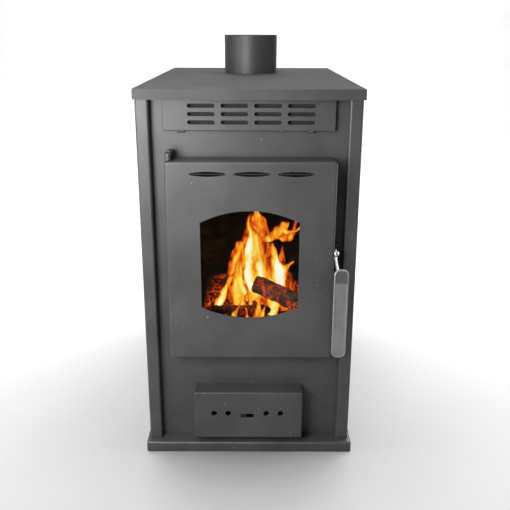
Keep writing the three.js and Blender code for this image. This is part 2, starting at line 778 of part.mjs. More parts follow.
// side is -1 on the left and 1 on the right: an angle under the baffle's edge.
function baffleLedge(side) {
  const outer = side * (fillHalf - ledgeSheet / 2);
  const points = [
    [outer, baffleZ - gap - ledgeLeg],
    [outer, baffleZ - gap - ledgeSheet / 2],
    [outer - side * ledgeLeg, baffleZ - gap - ledgeSheet / 2],
  ];
  return carryBack(foldedSheet(points, ledgeSheet, ledgeSheet), baffleY0, fillBack);
}
add('left_baffle_ledge', baffleLedge(-1), darkSteel);
add('right_baffle_ledge', baffleLedge(1), darkSteel);

// A Z-shaped runner: foot on the ash-pit floor, flange under the pan.
function drawerRunner(side) {
  const half = runnerSheet / 2;
  const web = side * (panWidth / 2 - runnerInset);
  const low = casingBottom + pitFloorSheet + gap + half;
  const high = panFloorZ - slideGap - half;
  const points = [
    [drawerShift + web + side * runnerFoot, low],
    [drawerShift + web, low],
    [drawerShift + web, high],
    [drawerShift + web - side * runnerFoot, high],
  ];
  return carryBack(foldedSheet(points, runnerSheet, runnerBend), boxFront, fillBack - runnerBackRoom);
}
add('left_drawer_runner', drawerRunner(-1), darkSteel);
add('right_drawer_runner', drawerRunner(1), darkSteel);

// ---------------------------------------------------------------- door hinges and keeper

// A bar from the front plate to a rounded nose in front of the pin.
function hingeLug(y0, z0, z1) {
  const half = lugWidth / 2;
  const shape = new THREE.Shape();
  shape.moveTo(pinX + half, plateFront - gap);
  shape.lineTo(pinX - half, plateFront - gap);
  shape.lineTo(pinX - half, y0 + half);
  shape.absarc(pinX, y0 + half, half, Math.PI, 2 * Math.PI, false);
  shape.closePath();
  const hole = bar('z', pinRadius + gap, z0 - 1, z1 + 1, pinX, pinY);
  return cut(raise(shape, z0, z1), hole);
}
const upperLugLow = doorTop + lugRise;
const upperLugHigh = upperLugLow + lugHeight;
const lowerLugHigh = doorBottom - lugRise;
const lowerLugLow = lowerLugHigh - lowerLugHeight;
add('upper_hinge_lug', hingeLug(doorFront + lugFront, upperLugLow, upperLugHigh), enamel);
add('lower_hinge_lug', hingeLug(pinY - lowerLugNose, lowerLugLow, lowerLugHigh), enamel);

const upperPinLength = upperLugHigh + gap - (doorTop - pinReach);
const upperPin = domeHead(pinHead / 2, pinHeadRise, pinRadius, upperPinLength);
add('upper_hinge_pin', place(upperPin, 'z', upperLugHigh + gap, pinX, pinY), zincSteel);
add('lower_hinge_pin', bar('z', pinRadius, lowerLugLow, doorBottom + pinReach, pinX, pinY), zincSteel);

function hingeWasher() {
  const low = lowerLugHigh + gap;
  const disc = bar('z', washerDiameter / 2, low, low + washerThick, pinX, pinY);
  return cut(disc, bar('z', pinRadius + gap, low - 1, low + washerThick + 1, pinX, pinY));
}
add('lower_hinge_washer', hingeWasher(), zincSteel);

// A ramped stop over the handle's tail. Its hooked lip is left off, so that the door can swing by itself.
const keeperX = leverLeft + keeperSide;
const keeperZ = pivotZ + tailHeight / 2 + keeperClear;
function latchKeeper() {
  const back = plateFront - gap;
  const front = back - keeperReach;
  const shape = new THREE.Shape();
  shape.moveTo(back, keeperZ);
  shape.lineTo(back, keeperZ + keeperThick);
  shape.lineTo(front, keeperZ + keeperThick);
  shape.lineTo(front, keeperZ + keeperRampRise);
  shape.lineTo(front + keeperRamp, keeperZ);
  shape.closePath();
  return carryRight(shape, keeperX, keeperX + keeperWidth);
}
add('latch_keeper', latchKeeper(), enamel);

// ---------------------------------------------------------------- fire door

function doorShell() {
  const pan = foldedPan(doorLeft, doorRight, doorBottom, doorTop, doorFront, doorBack,
    doorSheet, doorFold, doorCorner);
  const front = doorFront - 1;
  const back = doorSkinBack + 1;
  const opening = archWindow(windowX, windowHalf, windowLow, windowHigh, windowBottomArch, windowTopArch);
  const tools = [carryBack(opening, front, back, 8)];
  const span = 2 * (doorHalf - lensSide);
  const length = (span - (lensCount - 1) * lensGap) / lensCount;
  for (let n = 0; n < lensCount; n++) {
    const x = doorX + lensShift - span / 2 + length / 2 + n * (length + lensGap);
    tools.push(carryBack(lens(x, doorTop - lensDrop, length, lensHeight, lensEnd), front, back, 4));
  }
  tools.push(bar('z', pinRadius + gap, doorTop - doorSheet - doorCorner, doorTop + 1, pinX, pinY));
  tools.push(bar('z', pinRadius + gap, doorBottom - 1, doorBottom + doorSheet + doorCorner, pinX, pinY));
  tools.push(bar('x', boltShank / 2 + gap, doorRight - doorSheet - 1, doorRight + 1, pivotY, pivotZ));
  return cut(pan, ...tools);
}
add('door_shell', doorShell(), enamel);

add('glass_tape', frame(windowX, glassZ, glassHalf, glassHalfZ,
  glassHalf - tapeWidth, glassHalfZ - tapeWidth, tapeFront, tapeFront + tapeThick), ropeFibre);
add('door_glass', box(windowX - glassHalf, windowX + glassHalf, glassFront, glassFront + glassThick,
  glassLow, glassHigh), glassCeramic);

const railScrewZ = [glassZ - railHalfZ + railScrewInset, glassZ + railHalfZ - railScrewInset];
[-1, 1].forEach((side) => {
  const word = side < 0 ? 'left' : 'right';
  const outer = windowX + side * (railScrewX + railWidth / 2 - railScrewShank / 2);
  const inner = outer - side * railWidth;
  const shankHoles = railScrewZ.map((z) => bar('y', railScrewShank / 2 + gap, railFront - 1,
    railFront + railSheet + 1, windowX + side * railScrewX, z, 12));
  const strip = box(Math.min(outer, inner), Math.max(outer, inner), railFront, railFront + railSheet,
    glassZ - railHalfZ, glassZ + railHalfZ);
  add(`${word}_glass_rail`, cut(strip, ...shankHoles), darkSteel);
  railScrewZ.forEach((z, level) => {
    const headBase = railFront + railSheet + gap;
    const shankLength = headBase - doorSkinBack - gap;
    const screw = domeHead(railScrewHead / 2, railScrewRise, railScrewShank / 2, shankLength, 12);
    add(`${word}_glass_screw_${level ? 'upper' : 'lower'}`,
      place(screw, 'y', headBase, windowX + side * railScrewX, z), zincSteel);
  });
});

// A shallow pan that faces the skin and stops the fire reaching it; open over the glass.
function doorLiner() {
  const front = doorSkinBack + gap;
  const back = doorBack - linerRecess;
  const outer = box(doorX - linerHalf, doorX + linerHalf, front, back,
    doorZ - linerHalfZ, doorZ + linerHalfZ);
  const inside = linerHalf - linerSheet;
  const insideZ = linerHalfZ - linerSheet;
  const hollow = box(doorX - inside, doorX + inside, front - 1, back - linerSheet,
    doorZ - insideZ, doorZ + insideZ);
  const view = box(windowX - glassHalf - linerSide, windowX + glassHalf + linerSide, front, back + 1,
    glassLow - linerEnds, glassHigh + linerEnds);
  return cut(outer, hollow, view);
}
add('door_liner', doorLiner(), darkSteel);

const sealOuter = panInnerHalf - gap;
const sealOuterZ = panInnerHalfZ - gap;
const sealInner = linerHalf + gap;
const sealInnerZ = linerHalfZ + gap;

function sealChannel() {
  const floorBack = sealY + sealSheet;
  const block = frame(doorX, doorZ, sealOuter, sealOuterZ, sealInner, sealInnerZ, sealY, sealY + sealWall);
  const groove = frame(doorX, doorZ, sealOuter - sealSheet, sealOuterZ - sealSheet,
    sealInner + sealSheet, sealInnerZ + sealSheet, floorBack, sealY + sealWall + 1);
  return cut(block, groove);
}
add('seal_channel', sealChannel(), darkSteel);

// The rope fills the channel and stands proud of it, almost to the front plate.
function sealRope() {
  const edge = sealSheet + ropeSide;
  const front = sealY + sealSheet + gap;
  const back = plateFront - gap;
  const half = sealOuter - edge;
  const halfZ = sealOuterZ - edge;
  const inner = sealInner + edge;
  const innerZ = sealInnerZ + edge;
  const chamfer = 3;
  const full = frame(doorX, doorZ, half, halfZ, inner, innerZ, front, back - chamfer);
  const crown = frame(doorX, doorZ, half - chamfer, halfZ - chamfer, inner + chamfer, innerZ + chamfer,
    back - chamfer - 1, back, 0.5 + chamfer);
  return join(full, crown);
}
add('door_seal_rope', sealRope(), ropeFibre);

// ---------------------------------------------------------------- handle

const boltReach = leverSheet + gap + doorSheet + 2 * gap + nutThick + 1;
const pivotBolt = domeHead(boltHead / 2, boltHeadRise, boltShank / 2, boltReach);
add('handle_pivot_bolt', place(pivotBolt, 'x', leverRight + gap, pivotY, pivotZ), zincSteel);

function pivotNut() {
  const inside = doorRight - doorSheet - gap;
  const hexagon = bar('x', nutAcross / Math.sqrt(3), inside - nutThick, inside, pivotY, pivotZ, 6);
  return cut(hexagon, bar('x', boltShank / 2 + gap, inside - nutThick - 1, inside + 1, pivotY, pivotZ));
}
add('handle_pivot_nut', pivotNut(), zincSteel);

// One lever: an eye on the pivot, a tail towards the keeper, a curved arm and a flat grip.
function handleLever() {
  const eye = bar('x', eyeRadius, leverLeft, leverRight, pivotY, pivotZ, 24);
  const tail = box(leverLeft, leverRight, pivotY, tailEnd,
    pivotZ - tailHeight / 2, pivotZ + tailHeight / 2);
  const half = armWidth / 2;
  const armEndY = gripBack - gripThick / 2;
  const run = pivotY - armEndY;
  const drop = gripTopDrop + gripCorner + 4;
  const arm = new THREE.Shape();
  arm.moveTo(pivotY, pivotZ + half);
  arm.bezierCurveTo(pivotY - run * 0.55, pivotZ + half, armEndY - half * 0.2, pivotZ - drop * 0.35,
    armEndY, pivotZ - drop);
  arm.lineTo(armEndY + armWidth * 0.9, pivotZ - drop - half);
  arm.bezierCurveTo(armEndY + armWidth, pivotZ - drop * 0.5, pivotY - run * 0.45, pivotZ - half * 1.6,
    pivotY, pivotZ - half * 1.6);
  arm.closePath();
  const armSolid = carryRight(arm, leverLeft, leverRight, 8);
  const x0 = leverLeft - gripShift;
  const x1 = x0 + gripWidth;
  const outline = roundRectangle(x0 + gripEdge, x1 - gripEdge,
    gripTop - gripLength + gripEdge, gripTop - gripEdge, gripCorner - gripEdge);
  const options = {
    depth: gripThick - 2 * gripEdge, bevelEnabled: true, bevelSize: gripEdge, bevelThickness: gripEdge,
    bevelSegments: 2, curveSegments: 4,
  };
  const plate = new THREE.ExtrudeGeometry(outline, options);
  plate.rotateX(Math.PI / 2);
  plate.translate(0, gripBack - gripEdge, 0);
  const hole = bar('x', boltShank / 2 + gap, leverLeft - 1, leverRight + 1, pivotY, pivotZ);
  return cut(join(eye, tail, armSolid, solidOf(plate)), hole);
}
add('handle_lever', handleLever(), handleSteel);

// ---------------------------------------------------------------- ash drawer

function drawerFrontPan() {
  const half = drawerWidth / 2;
  const pan = foldedPan(drawerShift - half, drawerShift + half, drawerBottom, drawerTop,
    drawerFront, drawerBack, drawerSheet, drawerFold, drawerCorner);
  const holes = holeOffsets.map((offset) =>
    bar('y', airHole / 2, drawerFront - 1, skinBack + 1, pokerX + offset, holeZ));
  const poker = box(pokerX - pokerSlotWidth / 2, pokerX + pokerSlotWidth / 2, drawerFront - 1, skinBack + 1,
    pokerZ - pokerSlotHeight / 2, pokerZ + pokerSlotHeight / 2);
  return cut(pan, poker, ...holes);
}
add('ash_drawer_front', drawerFrontPan(), enamel);

// The drawer front closes the pan's front end.
function ashPan() {
  const half = panWidth / 2;
  const front = skinBack + gap;
  const back = fillBack - panBackRoom;
  const outer = box(drawerShift - half, drawerShift + half, front, back, panFloorZ, panRimZ);
  const inside = half - panSheet;
  const hollow = box(drawerShift - inside, drawerShift + inside, front - 1, back - panSheet,
    panFloorZ + panSheet, panRimZ + 1);
  return cut(outer, hollow);
}
add('ash_pan', ashPan(), darkSteel);

const sliderFront = skinBack + gap;
const sliderBack = sliderFront + sliderSheet;
const sliderLow = holeZ - sliderHeight / 2;
const sliderHigh = holeZ + sliderHeight / 2;

// side is -1 for the lower rail and 1 for the upper: a lip that holds the slider against the skin.
function sliderRail(side) {
  const edge = side < 0 ? sliderLow : sliderHigh;
  const near = edge + side * slideGap;
  const far = near + side * railBody;
  const inner = edge - side * railLap;
  const lipFront = sliderBack + gap;
  const span = [pokerX - sliderRailLength / 2, pokerX + sliderRailLength / 2];
  const back = lipFront + sliderRailSheet;
  const body = box(...span, sliderFront, back, Math.min(near, far), Math.max(near, far));
  const lip = box(...span, lipFront, back, Math.min(inner, far), Math.max(inner, far));
  return join(body, lip);
}
add('upper_slider_rail', sliderRail(1), darkSteel);
add('lower_slider_rail', sliderRail(-1), darkSteel);

// Open at rest, with its holes behind the drawer's; it slides right by its travel to close them.
function airSlider() {
  const x0 = pokerX - sliderWidth / 2;
  const plate = box(x0, x0 + sliderWidth, sliderFront, sliderBack, sliderLow, sliderHigh);
  const holes = holeOffsets.map((offset) =>
    bar('y', airHole / 2 + sliderHoleExtra, sliderFront - 1, sliderBack + 1, pokerX + offset, holeZ));
  const slotLeft = pokerX - pokerSlotWidth / 2;
  const tongueX = slotLeft + slideGap;
  const tongue = box(tongueX, tongueX + tongueWidth, drawerFront + tongueRecess, sliderBack,
    pokerZ - tongueHeight / 2, pokerZ + tongueHeight / 2);
  const lanceX = tongueX + tongueWidth;
  const lance = box(lanceX, lanceX + lanceWidth, sliderFront - 1, sliderBack + 1,
    pokerZ - pokerSlotHeight / 2, pokerZ + pokerSlotHeight / 2);
  return join(cut(plate, lance, ...holes), tongue);
}
add('air_slider', airSlider(), darkSteel);

export default stove;
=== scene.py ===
import bmesh
import bpy
import math
import numpy as np
from mathutils import Matrix, Vector


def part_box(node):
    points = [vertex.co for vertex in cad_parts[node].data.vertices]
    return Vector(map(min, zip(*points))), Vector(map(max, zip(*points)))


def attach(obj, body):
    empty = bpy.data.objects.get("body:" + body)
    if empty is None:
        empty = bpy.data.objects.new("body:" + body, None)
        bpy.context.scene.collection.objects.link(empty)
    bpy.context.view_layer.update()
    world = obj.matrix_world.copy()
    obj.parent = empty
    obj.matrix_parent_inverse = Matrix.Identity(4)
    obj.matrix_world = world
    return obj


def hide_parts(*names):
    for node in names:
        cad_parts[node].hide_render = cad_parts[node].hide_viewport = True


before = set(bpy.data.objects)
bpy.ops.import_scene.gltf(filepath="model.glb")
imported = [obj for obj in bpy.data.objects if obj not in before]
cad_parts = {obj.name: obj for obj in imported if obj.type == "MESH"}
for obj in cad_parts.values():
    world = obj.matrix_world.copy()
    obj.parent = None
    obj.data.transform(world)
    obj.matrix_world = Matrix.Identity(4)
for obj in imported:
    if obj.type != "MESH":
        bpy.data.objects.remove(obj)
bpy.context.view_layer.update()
scene = bpy.context.scene
mm = 0.001
print("frame loaded:", len(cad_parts), "nodes")


camera = {
    "place": (8.7, -1387.3, 807.3),     # mm, in the stove's own frame
    "pitch": 16.387,                    # degrees below the horizon
    "yaw": 0.093,
    "roll": -0.2,
    "lens": 44.74,
    "rise": -0.0784,                    # lens shift, in frame heights
}


def makeCamera():
    data = bpy.data.cameras.new("camera")
    data.lens, data.sensor_width, data.shift_y = camera["lens"], 36, camera["rise"]
    body = bpy.data.objects.new("camera", data)
    scene.collection.objects.link(body)
    yaw, pitch, roll = (math.radians(camera[k]) for k in ("yaw", "pitch", "roll"))
    right = Vector((math.cos(yaw), -math.sin(yaw), 0))
    ahead = Vector((math.sin(yaw) * math.cos(pitch), math.cos(yaw) * math.cos(pitch), -math.sin(pitch)))
    down = ahead.cross(right)
    across = math.cos(roll) * right + math.sin(roll) * down
    below = -math.sin(roll) * right + math.cos(roll) * down
    turn = Matrix((across, -below, -ahead)).transposed().to_4x4()
    body.matrix_world = Matrix.Translation(Vector(camera["place"]) * mm) @ turn
    scene.camera = body


makeCamera()


def linear(code):
    # Turns an sRGB hex code into linear red, green, blue and alpha.
    parts = [int(code[i:i + 2], 16) / 255 for i in (0, 2, 4)]
    return [c / 12.92 if c <= 0.04045 else ((c + 0.055) / 1.055) ** 2.4 for c in parts] + [1.0]


def addNode(tree, kind, settings=None, inputs=None):
    # Adds a node, sets its properties, and sets or links its inputs.
    node = tree.nodes.new(kind)
    for key, value in (settings or {}).items():
        setattr(node, key, value)
    for key, value in (inputs or {}).items():
        socket = node.inputs[key]
        if isinstance(value, bpy.types.NodeSocket):
            tree.links.new(value, socket)
        else:
            socket.default_value = value
    return node


def newMaterial(name):
    # A material with a Principled shader, and its tree, shader and Object coordinates.
    made = bpy.data.materials.new(name)
    made.use_nodes = True
    tree = made.node_tree
    shader = tree.nodes["Principled BSDF"]
    place = addNode(tree, "ShaderNodeTexCoord").outputs["Object"]
    return made, tree, shader, place


def noise(tree, place, size, detail=3.0, stretch=(1, 1, 1), rough=0.5):
    # Noise whose lumps are about 'size' millimetres across; stretch divides the size per axis.
    scaled = addNode(tree, "ShaderNodeMapping", {"vector_type": "POINT"}, {"Vector": place, "Scale": stretch})
    made = addNode(tree, "ShaderNodeTexNoise", None, {
        "Vector": scaled.outputs[0], "Scale": 1 / (size * mm), "Detail": detail, "Roughness": rough})
    return made.outputs["Fac"]


def ramp(tree, value, stops):
    # A colour ramp from (place, sRGB hex) stops.
    node = addNode(tree, "ShaderNodeValToRGB", None, {"Fac": value})
    points = node.color_ramp.elements
    points[0].position, points[1].position = stops[0][0], stops[-1][0]
    for at, _ in stops[1:-1]:
        points.new(at)
    for point, (_, code) in zip(points, stops):
        point.color = linear(code)
    return node.outputs["Color"]


def remap(tree, value, low, high, to0, to1):
    node = addNode(tree, "ShaderNodeMapRange", None, {
        "Value": value, "From Min": low, "From Max": high, "To Min": to0, "To Max": to1})
    return node.outputs["Result"]


def blend(tree, amount, first, second):
    # Mixes two colours by an amount; its sockets go by number because the node repeats their names.
    node = addNode(tree, "ShaderNodeMix", {"data_type": "RGBA"})
    for key, value in ((0, amount), (6, first), (7, second)):
        if isinstance(value, bpy.types.NodeSocket):
            tree.links.new(value, node.inputs[key])
        else:
            node.inputs[key].default_value = value
    return node.outputs[2]


def maths(tree, kind, first, second=0.0):
    node = addNode(tree, "ShaderNodeMath", {"operation": kind}, {0: first, 1: second})
    return node.outputs[0]


def bump(tree, layers):
    # Chains bump nodes from (height, depth in mm, strength) layers.
    normal = None
    for height, depth, strength in layers:
        inputs = {"Height": height, "Distance": depth * mm, "Strength": strength}
        if normal is not None:
            inputs["Normal"] = normal
        normal = addNode(tree, "ShaderNodeBump", None, inputs).outputs["Normal"]
    return normal


def specks(tree, place, spacing, radius, share):
    # Small round specks: cells 'spacing' mm apart, dots of a radius in mm, kept in a share of the cells.
    cells = addNode(tree, "ShaderNodeTexVoronoi", {"feature": "F1"}, {
        "Vector": place, "Scale": 1 / (spacing * mm)})
    dot = remap(tree, cells.outputs["Distance"], 0.6 * radius / spacing, 1.3 * radius / spacing, 1.0, 0.0)
    kept = addNode(tree, "ShaderNodeSeparateColor", None, {"Color": cells.outputs["Color"]})
    chosen = maths(tree, "LESS_THAN", kept.outputs[0], share)
    return maths(tree, "MULTIPLY", dot, chosen)


enamelLooks = {
    "tones": [(0.3, "272727"), (0.5, "2d2d2d"), (0.7, "333333")],           # sprayed coat, thin to thick
    # the 0b0b0b tone is painted shade, laid on the front plate behind the warm-air grille
    "wipeTone": "383838", "behindShadeTone": "0b0b0b", "scuffTone": "656462", "speckTone": "a3a29d",
    "cloud": 95, "wipe": 30, "scuff": 14, "scuffPatch": 70, "gloss": 38, "peel": 2.2, "wave": 110,    # mm
    "specks": ((17, 0.8, 0.3), (38, 1.25, 0.35)),       # spacing and radius in mm, share of cells kept
    "behindShadeEdge": (-1.5, 0.5),                          # mm over which the painted shade behind the grille fades in
    "roughness": (0.42, 0.48),
}


def enamelMaterial(name, dust=0.55, scuff=0.6, matt=0.0, shine=0.35, shadedBehind=None):
    # Heat-resistant enamel sprayed on sheet steel and baked: satin, faintly cloudy, with fine orange
    # peel that softens the highlights, and pale specks and rub marks from handling.
    made, tree, shader, place = newMaterial(name)
    look = enamelLooks
    cloud = noise(tree, place, look["cloud"], 4.0, rough=0.6)
    base = ramp(tree, cloud, look["tones"])
    wipe = noise(tree, place, look["wipe"], 3.0, stretch=(1, 1, 0.18))
    base = blend(tree, remap(tree, wipe, 0.35, 0.7, 0.0, 0.2), base, linear(look["wipeTone"]))
    if shadedBehind:      # painted shade: behind this node the front plate is darkened to near black, as the grille shades it
        low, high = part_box(shadedBehind)
        spot = addNode(tree, "ShaderNodeSeparateXYZ", None, {"Vector": place}).outputs
        beyond = maths(tree, "ADD", maths(tree, "ABSOLUTE", spot["X"]), -high[0])
        beyond = maths(tree, "MAXIMUM", beyond, maths(tree, "SUBTRACT", low[2], spot["Z"]))
        fade = [edge * mm for edge in look["behindShadeEdge"]]
        base = blend(tree, remap(tree, beyond, *fade, 0.85, 0.0), base, linear(look["behindShadeTone"]))
    rub = noise(tree, place, look["scuff"], 6.0, rough=0.75)
    rubbed = maths(tree, "MULTIPLY", remap(tree, rub, 0.66, 0.78, 0.0, scuff),
                   remap(tree, noise(tree, place, look["scuffPatch"], 2.0), 0.5, 0.66, 0.0, 1.0))
    base = blend(tree, rubbed, base, linear(look["scuffTone"]))
    fine, coarse = (specks(tree, place, *kind) for kind in look["specks"])
    spots = maths(tree, "MAXIMUM", fine, coarse)
    base = blend(tree, maths(tree, "MULTIPLY", spots, dust), base, linear(look["speckTone"]))
    tree.links.new(base, shader.inputs["Base Color"])
    gloss = noise(tree, place, look["gloss"], 4.0)
    rough = remap(tree, gloss, 0.3, 0.7, *(r + matt for r in look["roughness"]))
    if shadedBehind:      # rougher too, where the shade is painted behind the grille
        rough = maths(tree, "ADD", rough, remap(tree, beyond, *fade, 0.4, 0.0))
    tree.links.new(rough, shader.inputs["Roughness"])
    peel = noise(tree, place, look["peel"], 2.0)
    swell = noise(tree, place, look["wave"], 1.0)
    normal = bump(tree, [(swell, 1.6, 0.25), (peel, 0.09, 0.35), (spots, 0.2, 0.4)])
    tree.links.new(normal, shader.inputs["Normal"])
    shader.inputs["IOR"].default_value = 1.5
    shader.inputs["Specular IOR Level"].default_value = shine
    return made


wornAndHighlitEdgeLooks = {
    "tones": [(0.3, "383838"), (0.55, "4e4e4d"), (0.75, "7c7b77")],     # full coat to nearly bare; paler than the faces partly as a painted highlight
    "patch": 6, "peel": 2.0,                                            # mm
    "roughness": (0.45, 0.34),
}


def wornAndHighlitEdgeMaterial():
    # Enamel on a folded edge: rubbed thin by hands and packing, and paler, partly as a painted highlight
    # along the edge, and a little glossier.
    made, tree, shader, place = newMaterial("enamel_rubbed_and_highlit_edge")
    look = wornAndHighlitEdgeLooks
    broken = noise(tree, place, look["patch"], 5.0, rough=0.7)
    tree.links.new(ramp(tree, broken, look["tones"]), shader.inputs["Base Color"])
    tree.links.new(remap(tree, broken, 0.3, 0.7, *look["roughness"]), shader.inputs["Roughness"])
    tree.links.new(bump(tree, [(noise(tree, place, look["peel"], 2.0), 0.08, 0.4)]), shader.inputs["Normal"])
    shader.inputs["IOR"].default_value = 1.5
    return made


sootLooks = {
    "sooted_mill_steel": ("0d0c0b", "191614", "2c221b"),        # soot to rust
    # near black: painted shade, for the air slider seen through the drawer's air slot
    "black_steel_painted_slot_shade": ("030303", "050505", "090909"),
    "cloud": 45, "dull": 12, "flake": 3.0,                      # mm
    "roughness": (0.68, 0.95),
}


def sootMaterial(name):
    # Furnace steel inside the fire: mill scale under dull soot, with flaky rust-brown patches. The near-black
    # set of tones is painted shade, for the air slider seen through its slot.
    made, tree, shader, place = newMaterial(name)
    look = sootLooks
    cloud = noise(tree, place, look["cloud"], 5.0, rough=0.65)
    tone = ramp(tree, cloud, list(zip((0.3, 0.55, 0.75), look[name])))
    tree.links.new(tone, shader.inputs["Base Color"])
    dull = remap(tree, noise(tree, place, look["dull"], 3.0), 0.3, 0.7, *look["roughness"])
    tree.links.new(dull, shader.inputs["Roughness"])
    tree.links.new(bump(tree, [(noise(tree, place, look["flake"], 4.0), 0.25, 0.5)]), shader.inputs["Normal"])
    shader.inputs["Specular IOR Level"].default_value = 0.3
    return made


castLooks = {
    "tones": [(0.3, "161412"), (0.6, "2a2623"), (0.8, "3b3029")],
    "grain": 1.6, "cloud": 30,      # mm; the sand's grain is drawn coarser than its real 0.3 mm
    "roughness": (0.72, 0.92),
}


def castMaterial():
    # Grey cast iron, sand cast and burnt dark: grainy, with no shine.
    made, tree, shader, place = newMaterial("sand_cast_iron")
    look = castLooks
    grain = noise(tree, place, look["grain"], 4.0, rough=0.6)
    tone = ramp(tree, noise(tree, place, look["cloud"], 4.0), look["tones"])
    tree.links.new(tone, shader.inputs["Base Color"])
    tree.links.new(remap(tree, grain, 0.3, 0.7, *look["roughness"]), shader.inputs["Roughness"])
    tree.links.new(bump(tree, [(grain, 0.35, 0.7)]), shader.inputs["Normal"])
    return made


brickLooks = {
    "tones": [(0.3, "6f5b45"), (0.5, "8a7357"), (0.7, "a58c6d")], "gritTone": "57402c", "smokeTone": "070605",
    "cloud": 22, "smoke": 60, "pores": 2.4,     # mm
    "grit": (5, 1.1, 0.5),                      # spacing and radius in mm, share of cells kept
    "smokeHeights": (0.2, 0.34),                # metres above the floor, from half to fully sooted
}


def brickMaterial():
    # Pressed chamotte firebrick: buff, open-pored and soot-stained towards its top.
    made, tree, shader, place = newMaterial("pressed_chamotte_brick")
    look = brickLooks
    body = ramp(tree, noise(tree, place, look["cloud"], 5.0), look["tones"])
    grit = specks(tree, place, *look["grit"])
    body = blend(tree, maths(tree, "MULTIPLY", grit, 0.6), body, linear(look["gritTone"]))
    height = addNode(tree, "ShaderNodeSeparateXYZ", None, {"Vector": place}).outputs["Z"]
    smoke = maths(tree, "ADD", remap(tree, height, *look["smokeHeights"], 0.55, 1.0),
                  remap(tree, noise(tree, place, look["smoke"], 4.0), 0.3, 0.7, -0.25, 0.25))
    body = blend(tree, smoke, body, linear(look["smokeTone"]))
    tree.links.new(body, shader.inputs["Base Color"])
    shader.inputs["Roughness"].default_value = 0.93
    pores = noise(tree, place, look["pores"], 5.0, rough=0.7)
    tree.links.new(bump(tree, [(pores, 0.6, 0.6), (grit, 0.5, 0.5)]), shader.inputs["Normal"])
    return made


zincLooks = {
    "tones": [(0.3, "8d8c88"), (0.5, "acaba8"), (0.75, "c6c5c1")],      # heat-dulled to bright
    "patch": 4, "brushing": 0.8,                                        # mm
    "roughness": (0.28, 0.46),
}


def zincMaterial():
    # Zinc-plated turned steel: pale, faintly brushed, dulled by heat.
    made, tree, shader, place = newMaterial("zinc_plated_steel")
    look = zincLooks
    dull = noise(tree, place, look["patch"], 5.0, rough=0.65)
    tree.links.new(ramp(tree, dull, look["tones"]), shader.inputs["Base Color"])
    shader.inputs["Metallic"].default_value = 1.0
    tree.links.new(remap(tree, dull, 0.3, 0.7, *look["roughness"]), shader.inputs["Roughness"])
    brushing = noise(tree, place, look["brushing"], 2.0)
    tree.links.new(bump(tree, [(brushing, 0.03, 0.4)]), shader.inputs["Normal"])
    return made


gripLooks = {
    # the 333434 tone is painted shade over the grip's top
    "tones": [(0.3, "4a4a4a"), (0.5, "525252"), (0.7, "5a5a5a")], "shadedTopTone": "333434", "speckTone": "b5b4b0",
    "patch": 26, "peel": 1.8,       # mm
    "specks": (11, 0.6, 0.25),      # spacing and radius in mm, share of cells kept
    "paintedShadeFrom": 145,                    # mm up from the grip's foot where the painted shade over its top begins
    "waver": 1.6, "fade": 1.5,      # mm that this limit wanders and fades over
    "roughness": (0.38, 0.5),
}


def gripMaterial():
    # Stove enamel on the grip, with painted shade: darker over its top than over the rest of its length.
    made, tree, shader, place = newMaterial("grip_enamel_with_painted_shade")
    look = gripLooks
    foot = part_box("handle_lever")[0][2]
    height = addNode(tree, "ShaderNodeSeparateXYZ", None, {"Vector": place}).outputs["Z"]
    patch = noise(tree, place, look["patch"], 4.0)
    wavy = maths(tree, "ADD", height, remap(tree, patch, 0.3, 0.7, -look["waver"] * mm, look["waver"] * mm))
    split, fade = foot + look["paintedShadeFrom"] * mm, look["fade"] * mm
    shade = remap(tree, wavy, split - fade, split + fade, 0.0, 1.0)
    tone = blend(tree, shade, ramp(tree, patch, look["tones"]), linear(look["shadedTopTone"]))
    spots = specks(tree, place, *look["specks"])
    tone = blend(tree, maths(tree, "MULTIPLY", spots, 0.5), tone, linear(look["speckTone"]))
    tree.links.new(tone, shader.inputs["Base Color"])
    tree.links.new(remap(tree, patch, 0.3, 0.7, *look["roughness"]), shader.inputs["Roughness"])
    tree.links.new(bump(tree, [(noise(tree, place, look["peel"], 2.0), 0.06, 0.35)]), shader.inputs["Normal"])
    return made


rimLooks = {
    # paler than the grip's face: wear, and partly a painted highlight along the rim
    "tones": [(0.3, "5c5c5c"), (0.55, "747473"), (0.75, "8e8d8b")],
    "patch": 7,     # mm
    "roughness": (0.3, 0.45),
}


def rimMaterial():
    # The grip's rolled rim, where the enamel is worn through to steel: paler, partly as a painted highlight.
    made, tree, shader, place = newMaterial("worn_and_highlit_steel_rim")
    patch = noise(tree, place, rimLooks["patch"], 5.0, rough=0.7)
    tree.links.new(ramp(tree, patch, rimLooks["tones"]), shader.inputs["Base Color"])
    shader.inputs["Metallic"].default_value = 0.35
    tree.links.new(remap(tree, patch, 0.3, 0.7, *rimLooks["roughness"]), shader.inputs["Roughness"])
    return made


glassLooks = {
    "tones": [(0.35, "fff8ee"), (0.75, "efe2cf")],
    "film": 40,         # mm
    "ior": 1.12,        # well under a real pane's 1.5, so that it mirrors little of the room
    "roughness": (0.0, 0.02),
}


def glassMaterial():
    # Rolled glass ceramic: clear with a faint amber cast, and a thin smoke film in soft patches.
    made, tree, shader, place = newMaterial("rolled_glass_ceramic")
    film = noise(tree, place, glassLooks["film"], 4.0)
    tree.links.new(ramp(tree, film, glassLooks["tones"]), shader.inputs["Base Color"])
    shader.inputs["Transmission Weight"].default_value = 1.0
    shader.inputs["IOR"].default_value = glassLooks["ior"]
    tree.links.new(remap(tree, film, 0.3, 0.7, *glassLooks["roughness"]), shader.inputs["Roughness"])
    return made


ropeLooks = {
    "tones": [(0.2, "171716"), (0.6, "2e2d2b"), (0.9, "4a4946")],
    "threads": (180, 12, 1),    # bands along the rope and around it
    "fuzz": 1.0,                # mm
}


